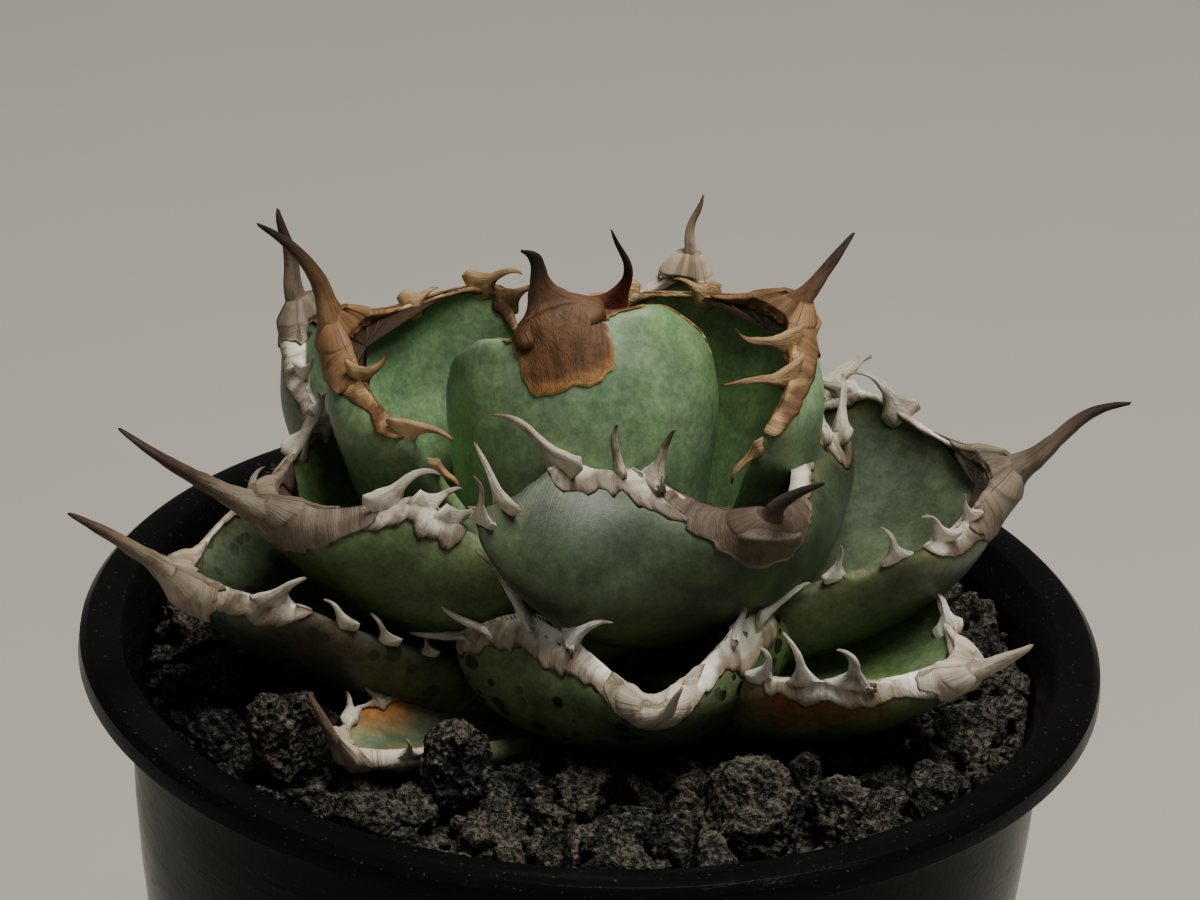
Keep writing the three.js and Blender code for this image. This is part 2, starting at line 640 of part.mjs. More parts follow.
const root = new THREE.Group();
addNode(root, 'pot', potSolid(), COLOURS.pot);
root.add(plant);

addNode(plant, 'stem', stemSolid(0), COLOURS.stem);
addNode(plant, 'bud_heart', heartSolid(0), COLOURS.bud);

const hollows = Object.values(LEAVES).map((leaf) => bladeSolid(leaf, GAP));
const taken = [stemSolid(GAP), heartSolid(GAP)];
const horns = [];
Object.entries(LEAVES).forEach(([name, leaf], index) => {
  const others = hollows.filter((hollow, i) => i !== index);
  const grown = hornSolids(leaf, 100 + index, wasm.Manifold.union([...others, ...horns]));
  const blade = bladeSolid(leaf, 0).subtract(wasm.Manifold.union(taken));
  const colours = name.startsWith('bud') ? COLOURS.bud : COLOURS.leaf;
  addNode(plant, name, biggestPiece(wasm.Manifold.union([blade, ...grown])), colours);
  taken.push(hollows[index]);
  horns.push(...grown);
});

const seats = [...taken, ...horns];
LOOSE_STONES.forEach((place, index) => {
  const seed = 300 + index;
  const stone = stoneSolid(seed, place, 1, 0).subtract(wasm.Manifold.union(seats));
  addNode(plant, `loose_stone_${String(index + 1).padStart(2, '0')}`, biggestPiece(stone), COLOURS.stone);
  seats.push(stoneSolid(seed, place, 1, GAP));
});

const filledBed = wasm.Manifold.union([fillingSolid(MEDIUM_TOP + GAP, BED_TOP), ...bedStones()]);
const bed = filledBed.subtract(wasm.Manifold.union(seats));
addNode(plant, 'rock_bed', biggestPiece(bed), COLOURS.bed);
const medium = fillingSolid(FLOOR + GAP - POT_HEIGHT, MEDIUM_TOP).subtract(stemSolid(GAP));
addNode(plant, 'growing_medium', medium, COLOURS.medium);

export default root;
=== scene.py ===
"""Potted agave: a stout rosette of toothed leaves in a black nursery pot, top-dressed with lava rock.

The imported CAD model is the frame. Every leaf, stone and the pot is built again here as a fine mesh in
the place of its CAD node, and the hidden core keeps its CAD shape. Sizes are in millimetres until a
mesh is made, and heights count from the top of the pot's lip.
"""

import json
import math

import bmesh
import bpy
import numpy as np
from mathutils import Matrix, Vector, noise
from mathutils.bvhtree import BVHTree

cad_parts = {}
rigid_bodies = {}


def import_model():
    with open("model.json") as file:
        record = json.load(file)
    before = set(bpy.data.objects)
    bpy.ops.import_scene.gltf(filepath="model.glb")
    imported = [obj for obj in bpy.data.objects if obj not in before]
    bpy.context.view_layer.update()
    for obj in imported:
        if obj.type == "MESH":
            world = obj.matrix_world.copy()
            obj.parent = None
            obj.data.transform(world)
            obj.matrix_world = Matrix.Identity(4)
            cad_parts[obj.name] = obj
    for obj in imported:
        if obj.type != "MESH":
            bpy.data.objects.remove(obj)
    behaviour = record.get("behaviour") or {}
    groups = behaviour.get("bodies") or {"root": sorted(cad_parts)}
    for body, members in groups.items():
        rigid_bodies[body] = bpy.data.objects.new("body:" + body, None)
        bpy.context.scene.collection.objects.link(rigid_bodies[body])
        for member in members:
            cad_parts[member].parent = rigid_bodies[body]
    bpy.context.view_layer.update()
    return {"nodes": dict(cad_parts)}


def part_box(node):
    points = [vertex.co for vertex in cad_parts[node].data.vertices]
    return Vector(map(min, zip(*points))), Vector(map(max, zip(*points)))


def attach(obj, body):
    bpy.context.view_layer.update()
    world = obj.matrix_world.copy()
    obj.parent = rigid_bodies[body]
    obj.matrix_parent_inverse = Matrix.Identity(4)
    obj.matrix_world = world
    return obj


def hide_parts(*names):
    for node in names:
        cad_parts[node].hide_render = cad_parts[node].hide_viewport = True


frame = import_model()

bl_info = {
    "name": "Potted agave",
    "version": (1, 0, 0),
    "blender": (4, 5, 0),
    "location": "3D View > Sidebar > Agave",
    "description": "Builds a potted agave with lava rock top dressing round its CAD frame",
    "category": "Add Mesh",
}

MM = 0.001
ORIGIN = (0, 0, 0)
LIP_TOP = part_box("pot")[1].z / MM

# Margins of the leaves, as the CAD model has them.
EDGE_THICKNESS = 1.5
TOOTH_KNEE = 0.4
RULE_TEETH = {"from": 0.5, "to": 0.95, "count": 4, "half_base": 2.6, "length": 5.5}
UPPER, UNDER = 1, -1
LEFT, RIGHT = -1, 1

# Leaves, from the innermost outwards, as the CAD model has them. azimuth is in degrees from +X. rib
# holds four points of the upper face's midline as [out from the axis, sideways, up], and spine two more
# of the end spine. half is the half width along the face, wrap the half angle that the face curls
# through and thick the thickness, each at even steps from base to tip. left and right list the teeth as
# [place along the leaf, half base, length, lean to the tip, lift from the face, lean curl, lift curl].
LEAVES = {
    "bud_inner_leaf": {
        "azimuth": 90, "rib": [[9, 0, 12], [9, 0, 26], [7, 0, 38], [2, 0, 46]], "roll": [0, 0],
        "half": [10, 15, 18, 17, 13, 7, 2.5], "wrap": [60, 100, 110, 100, 70, 50], "thick": [4, 3, 2],
        "spine": [[2.2, -2, 53], [1, 0.8, 60]], "left": [], "right": [],
    },
    "bud_outer_leaf": {
        "azimuth": -95, "rib": [[13, -1, 6], [16, -2, 24], [14, -3, 40], [8, -6, 50]], "roll": [0, 0],
        "half": [15, 25, 31, 33, 28, 16, 4], "wrap": [60, 115, 130, 115, 85, 60], "thick": [5, 4, 2.5],
        "spine": [[8, -8.5, 56.5], [9, -10.5, 61]], "left": [], "right": [],
    },
    "leaf_right_upper": {
        "azimuth": 28, "rib": [[8, 0, 6], [17.5, 0, 18], [23, 0, 31], [27, 0, 44]], "roll": [8, 8],
        "half": [12, 15, 18, 21, 24, 22, 5], "wrap": [50, 60, 70, 75, 70, 50], "thick": [10, 8, 3.5],
        "spine": [[31, 0, 47], [39, 0, 53]],
        "left": [[0.68, 1.8, 6, -50, 10, -30, 0], [0.84, 2.6, 7, -60, 0, -40, 0],
                 [0.9, 3, 11, -10, 20, -10, 20], [0.96, 3, 11, 0, 40, 10, 0]],
        "right": [[0.7, 2.4, 6, -10, 10, -20, 0], [0.82, 2.6, 7, -5, 10, -20, 0],
                  [0.93, 2.2, 5, 15, 10, 0, 0]],
    },
    "leaf_left_upper": {
        "azimuth": 178, "rib": [[8, 0, 6], [19, 0, 18], [28, 0, 30], [35, 0, 43]], "roll": [-15, -15],
        "half": [12, 16, 19, 22, 24, 23, 5], "wrap": [50, 65, 75, 75, 70, 50], "thick": [10, 8, 3.5],
        "spine": [[40, 0, 51], [47, 0, 60]],
        "left": [[0.74, 2.4, 6, 10, 10, -30, 0], [0.84, 2.6, 6.5, 10, 15, -25, 0],
                 [0.93, 2.2, 4, 5, 0, 0, 0]],
        "right": [[0.66, 1.8, 5, -60, 10, -40, 0], [0.82, 2.6, 9, 10, 25, -150, 0],
                  [0.94, 2.6, 6, 20, 30, 20, 20]],
    },
    "leaf_front_upper": {
        "azimuth": -62, "rib": [[8.5, 2, 11], [20, 5, 16], [27, 7, 22.5], [32, 8, 30.5]], "roll": [8, -3],
        "half": [13, 25, 37, 32, 26, 17, 4], "wrap": [45, 48, 52, 63, 92, 98, 95], "thick": [7, 7, 3.5],
        "spine": [[35, 9, 34.5], [40, 11, 39.5]],
        "left": [[0.36, 1.8, 8, 40, 12, 0, 0], [0.44, 2.2, 9.5, 0, 25, -20, 0],
                 [0.61, 3.8, 12, 5, -28, -20, 0], [0.75, 2, 6.5, 50, -15, 0, 0],
                 [0.84, 3.2, 9, 60, 10, 20, 0]],
        "right": [[0.46, 3, 10, -5, 5, 0, 0], [0.56, 2.4, 7, 10, 0, 0, 0]],
    },
    "leaf_back_upper": {
        "azimuth": 74, "rib": [[9, 0, 0], [22, 0, 9], [33, 0, 23], [38, 0, 37.5]], "roll": [0, 0],
        "half": [9, 14, 18, 20, 20, 17, 4], "wrap": [45, 55, 62, 62, 55, 45], "thick": [9, 8, 3.5],
        "spine": [[41, 0, 42.5], [44.5, -1, 47]],
    },
    "leaf_left_middle": {
        "azimuth": 203, "rib": [[9, 0, 3], [20, 0, 11], [34, 0, 17.5], [46.5, 0, 27]], "roll": [8, 8],
        "half": [11, 16, 19, 20, 20, 18, 5], "wrap": [45, 58, 62, 66, 75, 50], "thick": [10, 9, 4],
        "spine": [[58, 0, 32], [68.5, 0, 40.5]],
        "left": [[0.72, 2, 5, -20, 10, 0, 0], [0.8, 2.6, 8, -25, 10, 40, 0],
                 [0.88, 2.4, 8.5, -10, 5, 20, 0]],
        "right": [[0.33, 1.8, 5.5, 30, 15, 30, 0], [0.46, 2.2, 7.5, 35, 15, 70, 0],
                  [0.64, 2.8, 6, -50, 20, -50, 0], [0.74, 2.4, 6, -40, 15, -20, 0],
                  [0.86, 3.2, 9, 10, 5, -60, 0]],
    },
    "leaf_right_middle": {
        "azimuth": 5, "rib": [[9, 0, 2], [23, 0, 8], [39, 0, 13.5], [54, 0, 25]], "roll": [12, 12],
        "half": [10, 16, 20, 22, 23, 21, 5], "wrap": [45, 60, 70, 72, 68, 50], "thick": [10, 9, 4],
        "spine": [[62, 0, 30], [72, 0, 37]],
        "left": [[0.55, 1.8, 5.5, 25, 20, 0, 0], [0.74, 2.2, 6, 15, 15, -20, 0],
                 [0.87, 2.6, 7, 15, 15, -20, 0], [0.93, 2.4, 5, 30, 15, 0, 0]],
        "right": [[0.6, 2, 5, -10, 10, 0, 0], [0.74, 2.4, 7, -28, 10, 0, 20],
                  [0.88, 2.6, 9, 10, 10, -50, 0]],
    },
    "leaf_back_left": {
        "azimuth": 147, "rib": [[9, 0, 1], [23, 0, 9], [38, 0, 18], [49, 0, 33]], "roll": [0, 0],
        "half": [9, 14, 17, 19, 19, 16, 4], "wrap": [45, 58, 66, 68, 60, 45], "thick": [12, 9, 4],
        "spine": [[53, 0, 40], [56, 0, 47]],
    },
    "leaf_front_lower": {
        "azimuth": -77, "rib": [[8.5, 0, 4], [18.5, 1, 1.5], [30, 1, 5.5], [38, 0, 10]], "roll": [3, -4],
        "half": [13, 19, 25, 23.5, 19, 11, 3.5], "wrap": [40, 42, 45, 54, 75, 82, 80],
        "thick": [9, 8, 3.5], "spine": [[44, 0, 11], [47, 1, 17]],
        "left": [[0.38, 1.8, 7, 0, -50, 0, 30], [0.5, 2.2, 8.5, 10, -30, 0, 20],
                 [0.64, 3.4, 13, 28, -12, -10, -5], [0.77, 3, 8.5, 80, 35, 0, 0]],
        "right": [[0.64, 3.6, 8, 0, -38, 0, 0], [0.75, 3, 4, 28, -10, 0, 0]],
    },
    "leaf_back_right": {
        "azimuth": 55, "rib": [[10, 0, 0], [24, 0, 5], [39, 0, 9], [54, 0, 17]], "roll": [0, 0],
        "half": [9, 13, 17, 19, 18, 15, 4], "wrap": [45, 55, 62, 65, 58, 45], "thick": [11, 8, 4],
        "spine": [[60, 0, 18], [66, 0, 18]],
    },
    "leaf_left_lower": {
        "azimuth": 198, "rib": [[10, 0, -5], [25, 0, -0.5], [42, 0, 6.5], [57, 0, 15]], "roll": [0, 0],
        "half": [9, 13, 16, 18, 18, 16, 4], "wrap": [45, 50, 52, 52, 55, 45], "thick": [10, 8, 4],
        "spine": [[65, 0, 20], [73.5, 0, 24.5]],
        "left": [[0.6, 2, 5, 0, 10, 0, 0], [0.8, 2.4, 6, 10, 10, -20, 0]],
        "right": [[0.44, 1.4, 3, 30, 20, 0, 0], [0.56, 1.8, 5, 50, 20, 20, 0],
                  [0.68, 2, 5, 60, 25, 20, 0], [0.86, 3.4, 6, 20, 20, -80, 0]],
    },
    "leaf_right_lower": {
        "azimuth": -26, "rib": [[10, 0, -3], [24, 0, 1], [40, 0, 4], [54, 0, 11]], "roll": [5, 5],
        "half": [9, 13, 16, 18, 18, 16, 4], "wrap": [45, 50, 57, 60, 55, 45], "thick": [9, 8, 4],
        "spine": [[60, 0, 12], [65, 0, 16]],
        "left": [[0.55, 2.4, 6.5, 45, 20, -60, 0], [0.7, 2.6, 8, 10, 25, -40, 0],
                 [0.84, 3.6, 7.5, 50, 20, -70, 0]],
        "right": [[0.94, 2.4, 5, 0, 15, -20, 0]],
    },
    "leaf_back_lower": {
        "azimuth": 112, "rib": [[10, 0, -3], [24, 0, 1], [39, 0, 4], [52, 0, 11]], "roll": [0, 0],
        "half": [9, 13, 16, 18, 17, 14, 4], "wrap": [50, 60, 68, 68, 60, 45], "thick": [10, 8, 4],
        "spine": [[58, 0, 13], [63, 0, 17]],
    },
    "leaf_small_front": {
        "azimuth": 229, "rib": [[12, 3, -9], [26, 3, -5], [38, 1.5, -2], [47, -1, -0.5]],
        "roll": [-10, -10], "half": [5, 6, 7, 7.5, 7, 6, 2.5], "wrap": [50, 55, 55, 50, 45, 40],
        "thick": [5, 5, 3], "spine": [[50, -2, 3], [52, -3, 8]],
        "left": [[0.7, 1.6, 3, 50, 10, 0, 0], [0.88, 1.6, 3, 10, 10, 0, 0]],
        "right": [[0.6, 1.6, 3, 10, 20, 0, 0], [0.8, 1.8, 4, 30, 20, 0, 0]],
    },
}

# Horn colours of the band on the margin, a tooth's tip, the end spine, its tip, and the ragged border.
HORN_PARTS = ("Band", "Tooth tip", "Spine base", "Spine tip", "Border")
HORNS = {
    "white": [(0.44, 0.36, 0.26), (0.92, 0.88, 0.78), (0.6, 0.52, 0.4), (0.66, 0.58, 0.46),
              (0.1, 0.055, 0.03)],
    "cream": [(0.32, 0.25, 0.175), (0.78, 0.71, 0.58), (0.48, 0.39, 0.28), (0.12, 0.07, 0.04),
              (0.08, 0.045, 0.026)],
    "grey": [(0.21, 0.17, 0.12), (0.68, 0.61, 0.48), (0.12, 0.085, 0.056), (0.03, 0.018, 0.013),
             (0.05, 0.027, 0.017)],
    "tan": [(0.25, 0.2, 0.145), (0.78, 0.72, 0.6), (0.22, 0.172, 0.12), (0.07, 0.04, 0.027),
            (0.06, 0.033, 0.02)],
    "gold": [(0.15, 0.075, 0.028), (0.5, 0.33, 0.16), (0.24, 0.13, 0.052), (0.045, 0.023, 0.013),
             (0.08, 0.04, 0.016)],
    "brown": [(0.34, 0.16, 0.048), (0.46, 0.24, 0.08), (0.14, 0.064, 0.023), (0.014, 0.008, 0.006),
              (0.62, 0.38, 0.14)],
    "red": [(0.2, 0.07, 0.028), (0.28, 0.12, 0.045), (0.2, 0.05, 0.026), (0.014, 0.007, 0.006),
            (0.12, 0.05, 0.02)],
}

# How each leaf looks. horn and green name its colours. bands tells where the horn band of its left and of
# its right margin starts and width how wide it is, cap where the horn over its tip starts, cap_rise how
# much later at the sides and bulge how far it swells. flare is how much stouter the end spine starts,
# spots how many dark dots the skin has, and blush its colour near the margins, by blush_share below and
# blush_above on the upper face too. half, wrap and shoulder ease its form where the coarser CAD shape is
# cornered.
LOOKS = {
    "bud_inner_leaf": {"horn": "red", "bands": (0.6, 0.6), "cap": 0.9, "green": "bright", "flare": 1.8},
    "bud_outer_leaf": {"horn": "brown", "bands": (0.8, 0.5), "cap": 0.735, "cap_rise": 0.2,
                       "green": "bright", "flare": 1.5, "bulge": 1.3, "width": 1.7, "shoulder": 5.5,
                       "half": [15, 25, 31, 33, 30, 20, 5], "wrap": [60, 115, 130, 118, 95, 66]},
    "leaf_right_upper": {"horn": "gold", "bands": (0.74, 0.55), "cap": 0.92, "green": "bright",
                         "width": 0.75, "flare": 1.25},
    "leaf_left_upper": {"horn": "gold", "bands": (0.62, 0.8), "cap": 0.93, "green": "bright",
                        "width": 0.55, "flare": 1.1},
    "leaf_front_upper": {"horn": "grey", "bands": (0.57, 0.42), "cap": 0.9, "green": "deep",
                         "flare": 1.35, "wrap": [45, 48, 52, 63, 91, 92, 72]},
    "leaf_back_upper": {"horn": "cream", "bands": (0.6, 0.6), "cap": 0.972, "green": "grey",
                        "width": 0.5, "flare": 0.8, "half": [9, 14, 18, 19, 15.5, 9, 2.5]},
    "leaf_left_middle": {"horn": "tan", "bands": (0.78, 0.58), "cap": 0.92, "green": "mid",
                         "width": 0.85, "flare": 1.1},
    "leaf_right_middle": {"horn": "tan", "bands": (0.82, 0.6), "cap": 0.94, "green": "dull",
                          "width": 0.8, "flare": 1.1},
    "leaf_back_left": {"horn": "tan", "bands": (0.66, 0.66), "cap": 0.95, "green": "grey",
                       "width": 0.35, "flare": 0.8},
    "leaf_front_lower": {"horn": "white", "bands": (0.36, 0.58), "cap": 0.93, "green": "mid",
                         "spots": 1.0, "flare": 1.2, "width": 0.8, "wrap": [40, 42, 45, 54, 75, 77, 62]},
    "leaf_back_right": {"horn": "white", "bands": (0.6, 0.6), "cap": 0.95, "green": "grey",
                        "width": 0.5, "flare": 0.8},
    "leaf_left_lower": {"horn": "cream", "bands": (0.66, 0.78), "cap": 0.94, "green": "deep",
                        "spots": 0.6, "blush": (0.1, 0.055, 0.04), "blush_share": 0.55, "width": 0.7},
    "leaf_right_lower": {"horn": "white", "bands": (0.56, 0.66), "cap": 0.95, "green": "mid",
                         "blush": (0.36, 0.085, 0.025), "blush_share": 0.75, "width": 0.45},
    "leaf_back_lower": {"horn": "cream", "bands": (0.6, 0.6), "cap": 0.95, "green": "deep",
                        "width": 0.6},
    "leaf_small_front": {"horn": "cream", "bands": (0.5, 0.5), "cap": 0.95, "green": "grey",
                         "blush": (0.45, 0.17, 0.03), "blush_share": 0.9, "blush_above": 1.0,
                         "width": 0.4},
}

# Greens of the skin: its lit and its shaded body, and the bloom on it.
GREEN_PARTS = ("Body", "Shade", "Bloom")
GREENS = {
    "bright": [(0.15, 0.268, 0.1), (0.085, 0.152, 0.074), (0.238, 0.325, 0.192)],
    "mid": [(0.12, 0.195, 0.066), (0.06, 0.103, 0.038), (0.19, 0.235, 0.135)],
    "deep": [(0.048, 0.077, 0.034), (0.026, 0.041, 0.02), (0.066, 0.09, 0.05)],
    "dull": [(0.076, 0.105, 0.055), (0.042, 0.058, 0.031), (0.098, 0.12, 0.075)],
    "grey": [(0.11, 0.155, 0.085), (0.06, 0.09, 0.047), (0.19, 0.23, 0.165)],
}

# The pot's moulded wall, and the drain holes in its floor.
LIP_RADIUS = 70.3
LIP_INNER_RADIUS = 63.6
LIP_SKIRT = 4.4
WALL_TOP_RADIUS = 63
FOOT_RADIUS = 44
FOOT_RISE = 3.2
WALL = 1.5
FLOOR = 2.4
DRAIN_HOLES = 6
DRAIN_RADIUS = 4.5
DRAIN_CIRCLE = 29
DRAIN_SIDES = 40
POT_ROUNDING = 0.45

# The bed of lava rock. Its surface lies under the lip, rises to the middle and has low waves in it.
BED_BOTTOM = -29.7
BED_EDGE_RADIUS = 60.5
BED_INNER_RADIUS = 10
BED_DEPTH = 6.4
BED_MOUND = 1.8
BED_WAVES = 1.1
BED_WAVE_LENGTH = 9
BED_RINGS = 34
BED_SIDES = 90

# How far the bed's layers stay under the leaves.
GROUND_CLEARANCE = 1.8
CHIP_CLEARANCE = 3.0
STONE_CLEARANCE = 5.2
RAY_DEPTH = 27  # how far under the lip the search upwards for leaves starts
GROUND_SUNK = 1.6  # how far the ground lies under the grit

# Loose stones longer than this get finer faces.
LARGE_STONE = 13

# The fine horn. The skin sinks a little where horn covers it, and the bands end under the cap.
SKIN_SUNK = 0.16
BAND_STEP = 0.4
BAND_END = 0.985
# Across a band from its border to the margin: the share of its width, and how high it stands there.
BAND_PROFILE = [(1.0, -0.25), (0.94, 0.55), (0.75, 1.0), (0.5, 0.9), (0.25, 0.85), (0.08, 1.0)]
BAND_INSIDE = [(UNDER, 0.9), (UNDER, 0.4), (UPPER, 0.4), (UPPER, 0.9)]
BAND_ROOT = -0.7
# Along the cap: the share of its length, from the ragged border to the leaf's tip.
CAP_ROWS = (-0.01, 0.0, 0.02, 0.05, 0.1, 0.18, 0.28, 0.4, 0.52, 0.64, 0.76, 0.87, 0.95, 0.995)
# Rings that close the cap towards the end spine, each with its scale and how far on it lies.
CAP_CLOSING = [(1, 0.1), (0.97, 0.4), (0.87, 1.0), (0.7, 1.8), (0.48, 2.8)]
CAP_POINTS = 55
CAP_POINTS_RISEN = 101  # where the border climbs at the sides

# Teeth. They root in their margin at two depths and hook over, by degrees, from HOOK_START on.
TOOTH_STEPS = 24
TOOTH_SIDES = 16
TOOTH_STRETCH = 1.06
TOOTH_ROOTS = (1.8, 0.9)
HOOK_START = 0.45
HOOK_TURN = 48
HOOK_LIFT = 20
TIP_NEARNESS = 0.1  # how near a CAD corner lies to the tip of a tooth that the CAD leaf has

# End spines, which root at SPINE_ROOT along the leaf. From start to point: the share of the length, and
# the width and the thickness there.
SPINE_STEPS = 33
SPINE_SIDES = 20
SPINE_ROOT = 0.93
SPINE_PROFILE = [
    (0, 1.05, 1), (0.06, 0.88, 0.9), (0.13, 0.7, 0.78), (0.22, 0.54, 0.66), (0.32, 0.43, 0.56),
    (0.45, 0.34, 0.48), (0.6, 0.27, 0.4), (0.8, 0.19, 0.28), (0.93, 0.11, 0.17), (1, 0.03, 0.05),
]

# The photograph's camera: its place, the point it looks at, and its roll in degrees.
CAMERA_PLACE = (0, -793.2, 533.3)
CAMERA_AIM = (-0.05, 0, 135.64)
CAMERA_ROLL = 2.9
CAMERA_LENS = 196.4
SENSOR_WIDTH = 36

# How far the floor reaches, and the point in metres that both lights face.
FLOOR_REACH = 4000
LIGHT_AIM = (0, 0, 0.12)


# Settings

def colour_setting(name, description, default):
    """A colour."""
    return bpy.props.FloatVectorProperty(
        name=name, description=description, subtype="COLOR", size=3, default=default, min=0, max=1)


def length_setting(name, description, default, least=0.2):
    """A length, given here in millimetres."""
    return bpy.props.FloatProperty(
        name=name, description=description, default=default * MM, min=least * MM, unit="LENGTH")


class PotSettings(bpy.types.PropertyGroup):
    """The plastic pot."""

    sides: bpy.props.IntProperty(name="Sides", description="Facets round the pot", default=144, min=24)
    colour: colour_setting("Plastic", "Colour of the moulded plastic", (0.003, 0.003, 0.003))
    dust: colour_setting("Dust", "Colour of the rock dust on the pot", (0.11, 0.095, 0.08))


class LeafSettings(bpy.types.PropertyGroup):
    """The leaves and their horn."""

    steps_along: bpy.props.IntProperty(name="Steps along", description="Rows of a leaf", default=84, min=12)
    steps_across: bpy.props.IntProperty(
        name="Steps across", description="Points across a leaf's face", default=37, min=9)
    horn_raise: length_setting("Horn height", "How far the horn stands off the skin", 0.26, 0)
    band_width: length_setting("Band width", "Width of the horn band on each face", 1.3, 0)
    ragged: length_setting("Ragged edge", "How far the band's border wanders", 1.1, 0)


class StoneSettings(bpy.types.PropertyGroup):
    """The lava rock."""

    spacing: length_setting("Stone spacing", "Least distance between bed stones", 7.7, 1)
    least: length_setting("Smallest stone", "Radius of the smallest bed stone", 3.6)
    most: length_setting("Largest stone", "Radius of the largest bed stone", 5.9)
    chips: length_setting("Chip size", "Radius of the chips between the stones", 2.3)
    grit: length_setting("Grit size", "Radius of the grit under them", 1.0)
    dark: colour_setting("Dark rock", "Colour of the dark lava", (0.028, 0.0273, 0.0252))
    brown: colour_setting("Brown rock", "Colour of the brown lava", (0.06, 0.053, 0.041))


class StageSettings(bpy.types.PropertyGroup):
    """The floor and the light."""

    floor: colour_setting("Floor", "Colour of the pale floor", (0.435, 0.415, 0.362))
    key: bpy.props.FloatProperty(name="Key light", description="Power of the overhead light", default=13.5)
    fill: bpy.props.FloatProperty(name="Fill light", description="Power of the front light", default=0.55)


# Curves through a leaf's values

def along(values, s):
    """The smooth curve through evenly spaced values, at s from 0 at the first to 1 at the last."""
    values = np.asarray(values, float)
    last = len(values) - 1
    place = np.clip(s, 0, 1) * last
    k = np.minimum(np.floor(place).astype(int), last - 1)
    t = place - k
    before, start, end, after = (values[np.clip(k + shift, 0, last)] for shift in (-1, 0, 1, 2))
    bend = 2 * before - 5 * start + 4 * end - after
    twist = 3 * start - before - 3 * end + after
    return 0.5 * (2 * start + (end - before) * t + bend * t ** 2 + twist * t ** 3)


def smooth_step(low, high, x):
    """0 below low, 1 above high, and an S curve between."""
    t = np.clip((x - low) / (high - low), 0, 1)
    return t * t * (3 - 2 * t)


def unit(vectors):
    """The vectors at length 1."""
    return vectors / np.linalg.norm(vectors, axis=-1, keepdims=True)


def turns(count):
    """Angles at even steps of a full turn."""
    return np.arange(count) / count * 2 * math.pi


def outwards(place, azimuth):
    """A point given as out from the axis, sideways and up, in the row frame."""
    a = math.radians(azimuth)
    out, side, up = np.moveaxis(np.asarray(place, float), -1, 0)
    x = out * math.cos(a) - side * math.sin(a)
    y = out * math.sin(a) + side * math.cos(a)
    return np.stack([x, y, up + LIP_TOP], -1)


def rib_point(leaf, s):
    """The cubic through the rib's four points."""
    s = np.asarray(s, float)[..., None]
    weights = (
        -4.5 * (s - 1 / 3) * (s - 2 / 3) * (s - 1),
        13.5 * s * (s - 2 / 3) * (s - 1),
        -13.5 * s * (s - 1 / 3) * (s - 1),
        4.5 * s * (s - 1 / 3) * (s - 2 / 3),
    )
    places = [outwards(place, leaf["azimuth"]) for place in leaf["rib"]]
    return sum(weight * place for weight, place in zip(weights, places))


def rib_length(leaf):
    """Length of the leaf's midline."""
    points = rib_point(leaf, np.linspace(0, 1, 60))
    return np.linalg.norm(np.diff(points, axis=0), axis=1).sum()


def leaf_face(leaf, s, u):
    """Points of the upper face at s along and u across, with normal, outward way and tangent."""
    s, u = np.broadcast_arrays(np.asarray(s, float), np.asarray(u, float))
    step = 1e-3
    tangent = unit(rib_point(leaf, s + step) - rib_point(leaf, s - step))
    a = math.radians(leaf["azimuth"])
    level = np.array([-math.sin(a), math.cos(a), 0])
    level = unit(level - tangent * (tangent @ level)[..., None])
    inward = np.cross(tangent, level)
    roll = np.radians(along(leaf["roll"], s))[..., None]
    across = level * np.cos(roll) + inward * np.sin(roll)
    inward = inward * np.cos(roll) - level * np.sin(roll)
    wrap = np.radians(along(leaf["wrap"], s))[..., None]
    radius = along(leaf["half"], s)[..., None] / wrap
    angle = u[..., None] * wrap
    point = rib_point(leaf, s) + across * radius * np.sin(angle) + inward * radius * (1 - np.cos(angle))
    raised = smooth_step(0.3, 0.8, np.abs(u)) * smooth_step(0.5, 0.78, s) * smooth_step(1, 0.86, s)
    point = point + (raised * leaf.get("shoulder", 0))[..., None] * np.array([0, 0, 1])
    normal = inward * np.cos(angle) - across * np.sin(angle)
    outward = across * np.cos(angle) + inward * np.sin(angle)
    return point, normal, outward, tangent


def leaf_thickness(leaf, s, u):
    """Thickness of the leaf, thin at its margins."""
    full = along(leaf["thick"], s)
    share = np.maximum(1 - np.abs(u) ** 2.4, 0) ** 0.75
    return EDGE_THICKNESS + (full - EDGE_THICKNESS) * share


def scallop(leaf, s, u):
    """How the margin swells out under each tooth and draws in between, as a share of the half width."""
    half = along(leaf["half"], s)
    swell = np.zeros(np.broadcast(s, u).shape)
    for side in (LEFT, RIGHT):
        on_side = smooth_step(0.55, 1, u * side)
        for place, half_base, *_ in leaf["teeth"][side]:
            reach = 1.3 * half_base / leaf["length"]
            swell = swell + on_side * 0.32 * half_base * np.exp(-((s - place) / reach) ** 2)
    drawn_in = 0.35 * smooth_step(0.3, 0.5, s) * smooth_step(0.6, 1, np.abs(u))
    return (swell - drawn_in) * smooth_step(1, 0.93, s) / half


def skin_points(leaf, s, u, face, lift=0):
    """Points of the leaf's skin on its upper or under face, with the way out of the skin."""
    u = u * (1 + scallop(leaf, s, u))
    point, normal, outward, _ = leaf_face(leaf, s, u)
    rounding = 0.6 * EDGE_THICKNESS / along(leaf["half"], s)
    q = np.clip((np.abs(u) - 1 + rounding) / rounding, 0, 1)
    drop = EDGE_THICKNESS / 2 * (1 - np.sqrt(1 - q ** 2))
    depth = np.where(face == UPPER, drop, leaf_thickness(leaf, s, np.clip(u, -1, 1)) - drop)
    way = unit(np.where(face == UPPER, 1, -1)[..., None] * normal * (1 - q ** 2)[..., None]
               + outward * (np.sign(u) * q ** 2)[..., None])
    return point - normal * depth[..., None] + way * np.asarray(lift)[..., None], way


# Seeded draws, the same as the CAD model's

